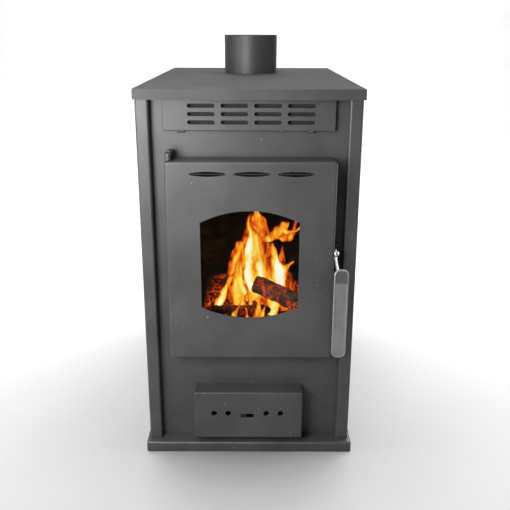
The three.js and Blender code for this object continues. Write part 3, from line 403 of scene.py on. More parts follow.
def ropeMaterial():
    # Braided glass-fibre rope, graphite coated: matt, with the weave's fine light and dark threads.
    made, tree, shader, place = newMaterial("braided_glass_fibre")
    around = addNode(tree, "ShaderNodeTexCoord").outputs["UV"]
    around = addNode(tree, "ShaderNodeMapping", None, {"Vector": around, "Scale": ropeLooks["threads"]})
    bands = {"wave_type": "BANDS", "bands_direction": "DIAGONAL"}
    strands = addNode(tree, "ShaderNodeTexWave", bands, {
        "Vector": around.outputs[0], "Scale": 1.0, "Distortion": 0.4}).outputs["Fac"]
    tree.links.new(ramp(tree, strands, ropeLooks["tones"]), shader.inputs["Base Color"])
    shader.inputs["Roughness"].default_value = 0.95
    fuzz = noise(tree, place, ropeLooks["fuzz"], 4.0, rough=0.7)
    tree.links.new(bump(tree, [(strands, 0.5, 0.7), (fuzz, 0.2, 0.5)]), shader.inputs["Normal"])
    return made


logLooks = {
    "tones": [(0.3, "0e0a08"), (0.55, "1e1410"), (0.75, "3a2a22")],     # charcoal to brown bark
    "glowTones": [(0.0, "000000"), (0.16, "2e0802"), (0.34, "8a2205"), (0.62, "d8500c"), (1.0, "f6a02a")],
    "blocks": (11, 22, 1),      # char blocks along the log and around it, per turn
    "char": 8, "heat": 42,      # mm
}


def logMaterial():
    # Split firewood burnt to charcoal: cracked into blocks, black and matt, glowing red in the cracks.
    made, tree, shader, place = newMaterial("charred_firewood")
    along = addNode(tree, "ShaderNodeTexCoord").outputs["UV"]
    look = logLooks
    along = addNode(tree, "ShaderNodeMapping", None, {"Vector": along, "Scale": look["blocks"]})
    blocks = addNode(tree, "ShaderNodeTexVoronoi", {"feature": "DISTANCE_TO_EDGE"}, {
        "Vector": along.outputs[0], "Scale": 1.0, "Randomness": 0.9})
    crack = remap(tree, blocks.outputs["Distance"], 0.02, 0.16, 1.0, 0.0)
    heat = remap(tree, noise(tree, place, look["heat"], 5.0, rough=0.65), 0.42, 0.68, 0.0, 1.0)
    char = ramp(tree, noise(tree, place, look["char"], 4.0), look["tones"])
    tree.links.new(char, shader.inputs["Base Color"])
    shader.inputs["Roughness"].default_value = 0.9
    glow = maths(tree, "MULTIPLY", heat, maths(tree, "ADD", maths(tree, "MULTIPLY", crack, 0.75), 0.2))
    tree.links.new(ramp(tree, glow, look["glowTones"]), shader.inputs["Emission Color"])
    shader.inputs["Emission Strength"].default_value = 1.0
    tree.links.new(bump(tree, [(blocks.outputs["Distance"], 3.0, 0.8)]), shader.inputs["Normal"])
    return made


emberLooks = {
    "tones": [(0.3, "15120f"), (0.6, "3b3530"), (0.8, "6f6862")],       # charcoal to wood ash
    "glowTones": [(0.0, "000000"), (0.3, "3a0a02"), (0.6, "b8350a"), (1.0, "f39a2c")],
    "lump": 11, "heat": 36, "ash": 5,       # mm
}


def emberMaterial():
    # A bed of embers under grey wood ash: lumps that glow where the ash has fallen off.
    made, tree, shader, place = newMaterial("embers_and_ash")
    look = emberLooks
    lumps = addNode(tree, "ShaderNodeTexVoronoi", {"feature": "F1"}, {
        "Vector": place, "Scale": 1 / (look["lump"] * mm)})
    heat = remap(tree, noise(tree, place, look["heat"], 4.0), 0.42, 0.66, 0.0, 1.0)
    gap = remap(tree, lumps.outputs["Distance"], 0.2, 0.75, 0.0, 1.0)
    glow = maths(tree, "MULTIPLY", heat, gap)
    ash = ramp(tree, noise(tree, place, look["ash"], 4.0), look["tones"])
    tree.links.new(ash, shader.inputs["Base Color"])
    shader.inputs["Roughness"].default_value = 0.96
    tree.links.new(ramp(tree, glow, look["glowTones"]), shader.inputs["Emission Color"])
    shader.inputs["Emission Strength"].default_value = 1.0
    tree.links.new(bump(tree, [(lumps.outputs["Distance"], 2.0, 0.7)]), shader.inputs["Normal"])
    return made


flameLooks = {
    "tones": [(0.06, "0a0100"), (0.16, "6a1402"), (0.28, "d4520a"), (0.42, "f3931c"), (0.56, "fbcd42"),
              (0.70, "f4ee78"), (0.86, "fffef2")],      # coolest to hottest
    "lick": 6,                                          # mm
    "brightness": 1.05,
}


def flameMaterial():
    # Burning wood gas: no surface of its own, only light, from dull red at its edges through orange and
    # yellow to nearly white where it is hottest. The warmth is stored on each sheet's points.
    made, tree, shader, place = newMaterial("wood_flame")
    heat = addNode(tree, "ShaderNodeAttribute", {"attribute_name": "warmth"}).outputs["Fac"]
    lick = noise(tree, place, flameLooks["lick"], 4.0, stretch=(1, 1, 0.4), rough=0.6)
    lively = maths(tree, "ADD", heat, remap(tree, lick, 0.3, 0.7, -0.13, 0.13))
    tree.links.new(ramp(tree, lively, flameLooks["tones"]), shader.inputs["Emission Color"])
    shader.inputs["Emission Strength"].default_value = flameLooks["brightness"]
    shader.inputs["Base Color"].default_value = linear("000000")
    shader.inputs["Roughness"].default_value = 1.0
    shader.inputs["Specular IOR Level"].default_value = 0.0
    return made


def floorMaterial():
    # Matt seamless paper.
    made, tree, shader, place = newMaterial("seamless_paper")
    grain = noise(tree, place, 260, 3.0)
    tree.links.new(ramp(tree, grain, [(0.3, "f1f1f1"), (0.7, "f5f5f5")]), shader.inputs["Base Color"])
    shader.inputs["Roughness"].default_value = 0.9
    shader.inputs["Specular IOR Level"].default_value = 0.1
    return made


enamel = enamelMaterial("baked_stove_enamel")
enamelFront = enamelMaterial("baked_stove_enamel_front")
# the front plate, with painted shade behind the warm-air grille
enamelPlatePaintedShade = enamelMaterial("baked_stove_enamel_plate_painted_shade", shadedBehind="warm_air_grille")
enamelBase = enamelMaterial("baked_stove_enamel_dusty", dust=0.75, scuff=0.9)
enamelLid = enamelMaterial("baked_stove_enamel_lid", matt=0.14, shine=0.28)
# paler edge finish: partly wear, partly painted highlight
wornAndHighlitEdge = wornAndHighlitEdgeMaterial()
soot = sootMaterial("sooted_mill_steel")
# near black, as painted shade in the drawer's air slot
slotShadeBlack = sootMaterial("black_steel_painted_slot_shade")
castIron = castMaterial()
brick = brickMaterial()
zinc = zincMaterial()
gripEnamel = gripMaterial()
gripRim = rimMaterial()
glass = glassMaterial()
rope = ropeMaterial()
charLog = logMaterial()
embers = emberMaterial()
flame = flameMaterial()
print("materials made")


def meshFrom(name, points, faces, body, materials, smooth=40.0, uv=None, fix=True):
    # Makes an object of points and faces, merged, with its faces outwards, riding on a body.
    mesh = bpy.data.meshes.new(name)
    mesh.from_pydata(points.tolist(), [], faces)
    if uv is not None:
        layer = mesh.uv_layers.new(name="along")
        corners = np.empty(len(mesh.loops), dtype=np.int32)
        mesh.loops.foreach_get("vertex_index", corners)
        layer.data.foreach_set("uv", uv[corners].astype(np.float32).ravel())
    if fix:
        shape = bmesh.new()
        shape.from_mesh(mesh)
        bmesh.ops.remove_doubles(shape, verts=shape.verts, dist=1e-6)
        bmesh.ops.recalc_face_normals(shape, faces=shape.faces)
        shape.to_mesh(mesh)
        shape.free()
    mesh.shade_smooth()
    mesh.set_sharp_from_angle(angle=math.radians(smooth))
    for made in materials:
        mesh.materials.append(made)
    piece = bpy.data.objects.new(name, mesh)
    scene.collection.objects.link(piece)
    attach(piece, body)
    return piece


def gridFaces(rows, columns, aroundRows=False, aroundColumns=True, start=0):
    # Quads between neighbours of a rows x columns grid, joined round where it closes on itself.
    r = np.arange(rows if aroundRows else rows - 1)
    c = np.arange(columns if aroundColumns else columns - 1)
    i, j = np.meshgrid(r, c, indexing="ij")
    i2, j2 = (i + 1) % rows, (j + 1) % columns
    quads = np.stack([i * columns + j, i * columns + j2, i2 * columns + j2, i2 * columns + j], -1)
    return (quads.reshape(-1, 4) + start).tolist()


def turned(points, profile, axis, centre, steps=48):
    # A solid of revolution: each profile point (radius, along) is carried round the axis.
    # Point = centre + along * axis + radius * (cos(angle) * side + sin(angle) * up).
    radius, along = np.array(profile, float).T
    angle = np.linspace(0, 2 * np.pi, steps, endpoint=False)
    axis = np.array(axis, float)
    side = np.roll(axis, 1)
    up = np.cross(axis, side)
    ring = np.cos(angle)[:, None] * side + np.sin(angle)[:, None] * up
    grid = np.array(centre) + along[None, :, None] * axis + radius[None, :, None] * ring[:, None, :]
    start = sum(len(p) for p, _ in points)
    points.append((grid.reshape(-1, 3), gridFaces(steps, len(profile), True, False, start)))


def carried(points, path, section, side, closed=False, capped=True, scale=None):
    # A section (across, out) carried along a path. At each path point the section's 'across' runs
    # along a fixed side direction and 'out' along the path's own normal, side x tangent.
    path = np.array(path, float)
    section = np.array(section, float)
    tangent = (np.roll(path, -1, 0) - np.roll(path, 1, 0)) if closed else np.gradient(path, axis=0)
    tangent /= np.linalg.norm(tangent, axis=1, keepdims=True)
    side = np.broadcast_to(np.array(side, float), path.shape)
    side = side - (side * tangent).sum(1, keepdims=True) * tangent
    side /= np.linalg.norm(side, axis=1, keepdims=True)
    out = np.cross(tangent, side)
    if section.ndim == 2:
        section = np.broadcast_to(section, (len(path), *section.shape))
    if scale is not None:
        section = section * np.array(scale)[:, None, None]
    grid = path[:, None] + section[..., :1] * side[:, None] + section[..., 1:] * out[:, None]
    count = section.shape[1]
    start = sum(len(p) for p, _ in points)
    faces = gridFaces(len(path), count, closed, True, start)
    if capped and not closed:
        faces.append([start + n for n in range(count)][::-1])
        faces.append([start + (len(path) - 1) * count + n for n in range(count)])
    points.append((grid.reshape(-1, 3), faces))


def gather(shells):
    # Joins the shells made by turned and carried into one list of points and one of faces.
    return np.concatenate([p for p, _ in shells]), [f for _, faces in shells for f in faces]


def roundedBox(halfAcross, halfOut, radius, steps=4):
    # A rounded rectangle's outline: a quarter circle at each corner.
    corners = [(1, 1, 0), (-1, 1, 1), (-1, -1, 2), (1, -1, 3)]
    outline = []
    for sx, sy, quarter in corners:
        angle = np.linspace(0, np.pi / 2, steps + 1) + quarter * np.pi / 2
        outline.append(np.stack([sx * (halfAcross - radius) + radius * np.cos(angle),
                                 sy * (halfOut - radius) + radius * np.sin(angle)], 1))
    return np.concatenate(outline)


easing = {"angle": 40, "flat": 0.6}     # degrees: edges sharper than this are eased, flatter are joined


def softened(node, body, finish, width, segments=2, edge=None):
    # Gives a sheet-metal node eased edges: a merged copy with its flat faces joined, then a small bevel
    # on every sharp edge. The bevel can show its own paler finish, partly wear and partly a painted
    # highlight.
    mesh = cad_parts[node].data.copy()
    mesh.name = node + "_sheet"
    shape = bmesh.new()
    shape.from_mesh(mesh)
    bmesh.ops.remove_doubles(shape, verts=shape.verts, dist=1e-6)
    flat = math.radians(easing["flat"])
    bmesh.ops.dissolve_limit(shape, angle_limit=flat, verts=shape.verts, edges=shape.edges)
    shape.to_mesh(mesh)
    shape.free()
    mesh.materials.clear()
    mesh.materials.append(finish)
    mesh.materials.append(edge or finish)
    mesh.shade_smooth()
    piece = bpy.data.objects.new(node + "_sheet", mesh)
    scene.collection.objects.link(piece)
    ease = piece.modifiers.new("eased_edges", "BEVEL")
    ease.width, ease.segments, ease.limit_method = width * mm, segments, "ANGLE"
    ease.angle_limit = math.radians(easing["angle"])
    # the bevel faces take the paler edge finish: partly wear, partly painted highlight
    ease.material = 1 if edge else -1
    ease.use_clamp_overlap = True
    even = piece.modifiers.new("even_shading", "WEIGHTED_NORMAL")
    even.keep_sharp = True
    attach(piece, body)
    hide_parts(node)


def paint(nodes, finish):
    # Gives carried-over CAD nodes a finish through their own material slots.
    for node in nodes:
        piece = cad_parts[node]
        if not piece.material_slots:
            piece.data.materials.append(finish)
        for holder in piece.material_slots:
            holder.link = "OBJECT"
            holder.material = finish


sheets = {      # finish, and the width of the eased edges in mm
    "base_tray": (enamelBase, 0.8), "left_side_panel": (enamel, 0.5), "right_side_panel": (enamel, 0.5),
    "back_panel": (enamel, 0.4), "lid": (enamelLid, 0.7), "front_plate": (enamelPlatePaintedShade, 0.5),
    "warm_air_grille": (enamelFront, 0.3), "upper_hinge_lug": (enamel, 0.9),
    "lower_hinge_lug": (enamel, 0.9), "latch_keeper": (enamel, 0.7),
}
for node, (finish, width) in sheets.items():
    softened(node, "stove_body", finish, width, edge=wornAndHighlitEdge)
softened("door_shell", "door", enamelFront, 0.4, edge=wornAndHighlitEdge)
softened("ash_drawer_front", "ash_drawer", enamelFront, 0.6, edge=wornAndHighlitEdge)
softened("ash_pan", "ash_drawer", soot, 0.4)
# the air slider is near black as painted shade in the drawer's air slot
softened("air_slider", "air_slider", slotShadeBlack, 0.3)
softened("fire_grate", "stove_body", castIron, 1.6, 3)
bricks = [f"{side}_firebrick_{n}" for side in ("left", "right") for n in (1, 2, 3)]
bricks += ["back_firebrick_1", "back_firebrick_2"]
for node in bricks:
    softened(node, "stove_body", brick, 2.2, 3)
paint(["firebox_left_wall", "firebox_right_wall", "firebox_back_wall", "firebox_roof", "fire_floor",
       "ash_pit_floor", "smoke_baffle", "left_baffle_ledge", "right_baffle_ledge", "left_drawer_runner",
       "right_drawer_runner", "left_glass_rail", "right_glass_rail", "door_liner", "seal_channel",
       "upper_slider_rail", "lower_slider_rail"], soot)
paint(["lower_hinge_washer", "handle_pivot_nut"], zinc)
paint(["door_glass"], glass)
paint(["glass_tape"], rope)
print("sheet metal softened")


collar = {"wall": 2.0, "rim": 0.9, "rimPoints": 9, "steps": 128}      # wall and rim in mm


def makeCollar():
    # A tube: its wall's section, with a half-round rim, turned about the flue's axis.
    low, high = (np.array(c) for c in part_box("flue_collar"))
    outer = (high[0] - low[0]) / 2
    inner = outer - collar["wall"] * mm
    rim = collar["rim"] * mm
    angle = np.linspace(0, np.pi, collar["rimPoints"])
    middle = (outer + inner) / 2
    tops = [(middle + (outer - middle) * np.cos(a), high[2] - rim + rim * np.sin(a)) for a in angle]
    profile = [(inner, low[2]), (outer, low[2]), *tops, (inner, low[2])]
    shells = []
    centre = ((low[0] + high[0]) / 2, (low[1] + high[1]) / 2, 0)
    turned(shells, profile, (0, 0, 1), centre, collar["steps"])
    piece = meshFrom("flue_collar_tube", *gather(shells), "stove_body", [enamel])
    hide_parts("flue_collar")


makeCollar()


fasteners = {
    "steps": 40, "dome": 7, "ease": 0.25,       # points round and over the dome; eased edge in mm
    "arm": 0.18, "reach": 0.6,                  # half width and reach of a driver's cross, per head radius
    "pins": {       # body, axis; head radius, head height, shank radius and depth of cross in mm; finish
        "upper_hinge_pin": ("stove_body", (0, 0, 1), 5.0, 4.0, 3.5, 0.0, enamel),
        "lower_hinge_pin": ("stove_body", (0, 0, 1), 3.5, 0.5, 3.5, 0.0, zinc),
        "handle_pivot_bolt": ("door", (1, 0, 0), 6.0, 5.0, 3.0, 0.0, zinc),
    },
    "backScrew": ("stove_body", (0, 1, 0), 4.5, 2.6, 2.1, 0.9, zinc),
    "glassScrew": ("door", (0, 1, 0), 4.75, 3.0, 2.5, 1.0, zinc),
}


def makeFastener(node, body, axis, headRadius, rise, shankRadius, cross, finish):
    # A pin or screw: shank, flat under the head, and a dome that is a quarter ellipse, turned about
    # its axis. A driver's cross is pressed in by lowering the dome near two lines across it.
    low, high = (np.array(c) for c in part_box(node))
    k = int(np.argmax(axis))
    axis = np.array(axis, float)
    length = high[k] - low[k]
    centre = (low + high) / 2
    centre[k] = low[k]
    head, rise, shank, edge = (v * mm for v in (headRadius, rise, shankRadius, fasteners["ease"]))
    base = length - rise
    if head == shank:       # a plain pin, with no head
        profile = [(0, 0), (shank - edge, 0), (shank, edge), (shank, length - edge), (shank - edge, length)]
    else:
        turn = np.linspace(0, np.pi / 2, fasteners["dome"])[1:-1]
        profile = [(0, 0), (shank - edge, 0), (shank, edge), (shank, base), (head - edge, base),
                   (head, base + edge)]
        profile += [(head * math.cos(a), base + rise * math.sin(a)) for a in turn]
    if cross:               # two more rings near the middle, for its corner
        profile += [(head * f, base + rise * math.sqrt(1 - f * f)) for f in (0.2, 0.1)]
    profile.append((0, length))
    shells = []
    turned(shells, profile, axis, centre, fasteners["steps"])
    points, faces = gather(shells)
    if cross:
        away = points - centre
        a, b = (away[:, n] for n in range(3) if n != k)
        near = np.minimum(np.abs(a), np.abs(b)) < fasteners["arm"] * head
        inside = (np.hypot(a, b) < fasteners["reach"] * head) & (away[:, k] > base)
        points[near & inside] -= axis * cross * mm
    piece = meshFrom(node + "_turned", points, faces, body, [finish], smooth=35)
    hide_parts(node)


for name, settings in fasteners["pins"].items():
    makeFastener(name, *settings)
for side in ("left", "right"):
    for level in ("lower", "upper"):
        makeFastener(f"back_screw_{side}_{level}", *fasteners["backScrew"])
        makeFastener(f"{side}_glass_screw_{level}", *fasteners["glassScrew"])
print("fasteners turned")


seal = {
    "halfWidth": 6.6, "corner": 9.0, "twist": 13.0,     # mm; the twist is one turn of a strand
    "strands": 8, "proud": 0.05,                        # proud is a share of the radius
    "points": 560, "sides": 32, "cornerSteps": 12,
}


def makeRope():
    # The door's seal: an oval section carried round a rounded rectangle. Its radius swells where
    # either of two opposite helices of strands comes to the surface, which gives the braid.
    low, high = (np.array(c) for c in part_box("door_seal_rope"))
    depth = (high[1] - low[1]) / 2
    wide = seal["halfWidth"] * mm
    halfX, halfZ = (high[0] - low[0]) / 2 - wide, (high[2] - low[2]) / 2 - wide
    outline = roundedBox(halfX, halfZ, seal["corner"] * mm, seal["cornerSteps"])
    loop = np.vstack([outline, outline[:1]])
    run = np.r_[0, np.cumsum(np.linalg.norm(np.diff(loop, axis=0), axis=1))]
    at = np.linspace(0, run[-1], seal["points"], endpoint=False)
    x = np.interp(at, run, loop[:, 0]) + (low[0] + high[0]) / 2
    z = np.interp(at, run, loop[:, 1]) + (low[2] + high[2]) / 2
    path = np.stack([x, np.full_like(x, (low[1] + high[1]) / 2), z], 1)
    around = np.linspace(0, 2 * np.pi, seal["sides"], endpoint=False)
    turns = 2 * np.pi * round(run[-1] / (seal["twist"] * mm)) / run[-1]
    s, a = np.meshgrid(at, around, indexing="ij")
    half = seal["strands"] / 2
    weave = np.maximum(np.cos(half * a + turns * s), np.cos(half * a - turns * s))
    swell = 1 - seal["proud"] + seal["proud"] * weave
    section = np.stack([depth * np.cos(a) * swell, wide * np.sin(a) * swell], -1)
    shells = []
    carried(shells, path, section, (0, 1, 0), closed=True)
    points, faces = gather(shells)
    uv = np.stack([s / run[-1], a / (2 * np.pi)], -1).reshape(-1, 2)
    piece = meshFrom("seal_rope_braid", points, faces, "door", [rope], uv=uv, smooth=60)
    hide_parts("door_seal_rope")


makeRope()


weld = {"drop": 2.4, "ripple": 0.13, "points": 34, "sides": 16}      # drop in mm, ripple per radius
beads = {       # start, end and radius in mm
    "grille_weld_left": ((-127, -279.8, 634.6), (-112, -279.8, 634.8), 2.9),
    "grille_weld_right": ((103, -279.8, 634.8), (116, -279.8, 634.4), 2.7),
    "hinge_weld_upper": ((-133.6, -279.3, 591), (-133.6, -279.3, 601.6), 1.7),
    "hinge_weld_lower": ((-133.6, -279.3, 206), (-133.6, -279.3, 212.6), 1.5),
}


def makeBead(name, start, end, radius):
    # A weld bead: a round section carried along a short line, thin at both ends, its radius rising
    # and falling once per drop of weld.
    start, end = np.array(start) * mm, np.array(end) * mm
    length = np.linalg.norm(end - start)
    t = np.linspace(0, 1, weld["points"])
    path = start + (end - start) * t[:, None]
    ripple = 1 + weld["ripple"] * np.abs(np.sin(np.pi * t * length / (weld["drop"] * mm)))
    taper = np.clip(1 - np.abs(2 * t - 1) ** 5, 0.05, 1) ** 0.5
    around = np.linspace(0, 2 * np.pi, weld["sides"], endpoint=False)
    section = radius * mm * np.stack([np.cos(around), np.sin(around)], 1)
    shells = []
    carried(shells, path, section, (0, 1, 0), scale=ripple * taper)
    piece = meshFrom(name, *gather(shells), "stove_body", [enamel], smooth=60)


for name, (start, end, radius) in beads.items():
    makeBead(name, start, end, radius)


handle = {      # mm
    "gripTop": 402.8, "thick": 6.0, "corner": 10.5, "edge": 1.7,
    "rim": 1.8, "dish": 0.55, "flat": 6.5,                      # the face is flat this far in from its edge
    "plate": 4.0, "eye": 9.8, "bore": 3.3, "ease": 0.8,         # the eye's plate, outer and bore radius
    "tail": (6, 5.5, 1.0),                                      # start behind the pivot, half height, corner
    "neck": (4.6, 5.4),                                         # section across and through
    "neckStart": ((0, -5, -5), (0, -15, -13)),                  # first two guide points, from the pivot
    "neckEnd": ((1.5, 6, -16), (2.5, -1.5, -29)),               # last two, from behind the grip
}


def makeGrip():
    # The flat grip: a rounded rectangle's outline, drawn in step by step from its rim to its middle.
    # From back to front: flat back, rounded edge, a raised rim, then a face dished by a fraction of a
    # millimetre.
    low, high = (np.array(c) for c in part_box("handle_lever"))
    left, right, bottom, front = low[0], high[0], low[2], low[1]
    top = handle["gripTop"] * mm
    thick, edge, corner, flat = (handle[k] * mm for k in ("thick", "edge", "corner", "flat"))
    centre = np.array([(left + right) / 2, 0, (bottom + top) / 2])
    halfX, halfZ = (right - left) / 2, (top - bottom) / 2
    turn = np.linspace(0, np.pi / 2, 5)
    rows = [(flat, thick), (flat - 3 * mm, thick)]
    rows += [(edge * (1 - math.sin(a)), thick - edge * (1 - math.cos(a))) for a in turn]
    rows += [(edge * (1 - math.cos(a)), edge * (1 - math.sin(a))) for a in turn]
    rim, dish = handle["rim"] * mm, handle["dish"] * mm
    rows += [(rim, 0.05 * mm), (rim * 1.5, dish * 0.7), (rim * 2, dish), (flat, dish)]
    rings = []
    for inset, deep in rows:
        ring = roundedBox(halfX - inset, halfZ - inset, max(corner - inset, 1.2 * mm), 8)
        x, z = ring[:, 0] + centre[0], ring[:, 1] + centre[2]
        rings.append(np.stack([x, np.full_like(x, front + deep), z], 1))
    count = len(rings[0])
    points = np.concatenate(rings)
    faces = gridFaces(len(rings), count, False, True)
    faces += [list(range(count)), list(range((len(rings) - 1) * count, len(rings) * count))[::-1]]
    piece = meshFrom("handle_grip", points, faces, "handle", [gripEnamel, gripRim], smooth=50)
    mesh = piece.data
    middle = np.empty(len(mesh.polygons) * 3)
    mesh.polygons.foreach_get("center", middle)
    middle = middle.reshape(-1, 3)
    wide = np.maximum(np.abs(middle[:, 0] - centre[0]) - (halfX - corner), 0)
    tall = np.maximum(np.abs(middle[:, 2] - centre[2]) - (halfZ - corner), 0)
    fromEdge = corner - np.hypot(wide, tall)
    onRim = (fromEdge < rim) & (middle[:, 1] < front + thick * 0.6)
    mesh.polygons.foreach_set("material_index", onRim.astype(np.int32))
    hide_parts("handle_lever")


def makeLever():
    # The lever behind the grip: an eye turned about the pivot, a tail, and a forged neck whose oval
    # section is carried along a cubic curve, set by four guide points, from the eye to the grip's back.
    low, high = (np.array(c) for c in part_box("handle_lever"))
    boltLow, boltHigh = (np.array(c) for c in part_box("handle_pivot_bolt"))
    pivotY, pivotZ = (boltLow[1] + boltHigh[1]) / 2, (boltLow[2] + boltHigh[2]) / 2
    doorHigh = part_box("door_shell")[1]
    x0 = doorHigh[0] + 0.3 * mm
    plate, eye, ease, bore = (handle[k] * mm for k in ("plate", "eye", "ease", "bore"))
    profile = [(bore, 0), (eye - ease, 0), (eye, ease), (eye, plate - ease), (eye - ease, plate),
               (bore, plate), (bore, 0)]
    shells = []
    turned(shells, profile, (1, 0, 0), (x0, pivotY, pivotZ))
    middle = x0 + plate / 2
    behind, halfTail, tailCorner = (v * mm for v in handle["tail"])
    tail = [(middle, pivotY + behind, pivotZ), (middle, high[1] - 0.6 * mm, pivotZ),
            (middle, high[1], pivotZ)]
    carried(shells, tail, roundedBox(plate / 2, halfTail, tailCorner), (1, 0, 0), scale=[1, 1, 0.85])
    gripBack = low[1] + handle["thick"] * mm
    first, second = np.array([middle, pivotY, pivotZ]) + np.array(handle["neckStart"]) * mm
    third, last = np.array([middle, gripBack, pivotZ]) + np.array(handle["neckEnd"]) * mm
    t = np.linspace(0, 1, 26)[:, None]
    path = (1 - t) ** 3 * first + 3 * (1 - t) ** 2 * t * second + 3 * (1 - t) * t ** 2 * third + t ** 3 * last
    around = np.linspace(0, 2 * np.pi, 20, endpoint=False)
    thick, deep = (v * mm / 2 for v in handle["neck"])
    section = np.stack([thick * np.cos(around), deep * np.sin(around)], 1)
    waist = 1 + 0.35 * (2 * t[:, 0] - 1) ** 2
    carried(shells, path, section, (1, 0, 0), scale=waist)
    piece = meshFrom("handle_lever_forging", *gather(shells), "handle", [zinc], smooth=45)
    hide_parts("handle_lever")


makeGrip()
makeLever()
print("handle made")


fire = {
    "logs": [               # start, end (mm), radius, seed
        ((-118, -168, 224), (62, -118, 220), 22, 3),
        ((146, -186, 240), (10, -134, 290), 17, 5),
        ((-96, -60, 240), (92, -66, 236), 27, 8),
        ((60, -216, 212), (2, -130, 246), 11, 12),
        ((-70, -214, 212), (-26, -160, 240), 11, 14),
        ((118, -222, 216), (30, -188, 226), 15, 17),
    ],
}
emberBed = {
    "margin": 6, "gap": 0.3, "foot": 0.8, "rise": 11, "lump": 2.2,      # mm
    "grid": (110, 150), "seed": 21,
}


def ripples(rng, count, low, high):
    # Random wave numbers, sizes and phases for a sum of sines.
    numbers = rng.uniform(low, high, count)
    sizes = rng.uniform(0.4, 1.0, count)
    return list(zip(numbers, sizes, rng.uniform(0, 2 * np.pi, count)))


def drift(rng, x, z, size, stretch=1.0):
    # Smooth random values from -1 to 1: a lattice of random heights 'size' mm apart, eased between them.
    u, v = x / size, z / (size * stretch)
    u, v = u - u.min(), v - v.min()
    i, j = u.astype(int), v.astype(int)
    fu, fv = u - i, v - j
    fu, fv = fu * fu * (3 - 2 * fu), fv * fv * (3 - 2 * fv)
    lattice = rng.uniform(-1, 1, (i.max() + 2, j.max() + 2))
    near = lattice[i, j] * (1 - fu) + lattice[i + 1, j] * fu
    far = lattice[i, j + 1] * (1 - fu) + lattice[i + 1, j + 1] * fu
    return near * (1 - fv) + far * fv


def makeLog(index, start, end, radius, seed):
    # A split log: a three-cornered round section carried along its length, with its surface moved in
    # and out by sums of sines so that the bark is ridged and the char is lumpy.
    rng = np.random.default_rng(seed)
    start, end = np.array(start) * mm, np.array(end) * mm
    t = np.linspace(0, 1, 90)
    bend = np.sin(np.pi * t)[:, None] * rng.uniform(-5, 5, 3) * mm
    path = start + (end - start) * t[:, None] + bend
    a = np.linspace(0, 2 * np.pi, 56, endpoint=False)
    s, b = np.meshgrid(t, a, indexing="ij")
    wedge = 1 + 0.16 * np.cos(3 * b + rng.uniform(0, 6)) + 0.06 * np.cos(5 * b + rng.uniform(0, 6))
    rough = np.zeros_like(s)
    for f, size, phase in ripples(rng, 12, 3, 17):
        rough += 0.022 * size * np.sin(f * 3.1 * s + np.round(f) * b + phase)
    for f, size, phase in ripples(rng, 8, 25, 50):
        rough += 0.012 * size * np.sin(f * 2.3 * s + np.round(f / 3) * b + phase)
    ends = np.clip(np.minimum(s, 1 - s) / 0.035, 0, 1) ** 0.4 * 0.25 + 0.75
    size = radius * mm * wedge * (1 + rough) * ends
    section = np.stack([size * np.cos(b), size * np.sin(b)], -1)
    shells = []
    carried(shells, path, section, (0.2, 0.1, 1))
    points, faces = gather(shells)
    turnsLong = np.linalg.norm(end - start) / (2 * np.pi * radius * mm)
    uv = np.stack([s * turnsLong, b / (2 * np.pi)], -1).reshape(-1, 2)
    piece = meshFrom(f"fire_log_{index}", points, faces, "stove_body", [charLog], uv=uv, smooth=70)


def makeEmbers():
    # A low heap of embers on the grate: a grid whose height falls off to the sides and is broken into
    # lumps by a sum of sines, closed by a flat underside.
    rng = np.random.default_rng(emberBed["seed"])
    low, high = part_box("fire_grate")
    margin, gap, foot, rise, lump = (emberBed[k] * mm for k in ("margin", "gap", "foot", "rise", "lump"))
    nx, ny = emberBed["grid"]
    x = np.linspace(low[0] + margin, high[0] - margin, nx)
    y = np.linspace(low[1] + margin, high[1] - margin, ny)
    gx, gy = np.meshgrid(x, y, indexing="ij")
    u = 2 * (gx - x[0]) / (x[-1] - x[0]) - 1
    v = 2 * (gy - y[0]) / (y[-1] - y[0]) - 1
    mound = np.clip(1 - u ** 4, 0, 1) * np.clip(1 - v ** 6, 0, 1)
    lumps = np.zeros_like(gx)
    for f, size, phase in ripples(rng, 26, 120, 520):
        way = rng.uniform(0, 2 * np.pi)
        lumps += size * np.sin(f * (gx * math.cos(way) + gy * math.sin(way)) + phase)
    height = high[2] + foot + mound * (rise + lump * np.tanh(lumps / 2))
    top = np.stack([gx, gy, height], -1).reshape(-1, 3)
    bottom = np.stack([gx, gy, np.full_like(gx, high[2] + gap)], -1).reshape(-1, 3)
    count = len(top)
    faces = gridFaces(nx, ny, False, False)
    faces += [[i + count for i in face][::-1] for face in faces]
    grid = np.arange(count).reshape(nx, ny)
    rim = np.concatenate([grid[:, 0], grid[-1, 1:], grid[-2::-1, -1], grid[0, -2:0:-1]])
    ahead = np.roll(rim, -1)
    faces += np.stack([rim, rim + count, ahead + count, ahead], 1).tolist()
    piece = meshFrom("ember_bed", np.concatenate([top, bottom]), faces, "stove_body", [embers], smooth=70)


flames = {
    "step": 1.5,                                                # mm between a sheet's points
    "curl": ((8, 52, 1.5), (5.5, 22, 1.7), (3.6, 9, 2.0)),      # sideways drifts: mm moved, size, stretch
    "stir": ((9, 40, 1.4), (5, 15, 1.6)),                       # upward drifts
    "wave": (12, 75, 1.6),                                      # the whole sheet's sway to and fro
}
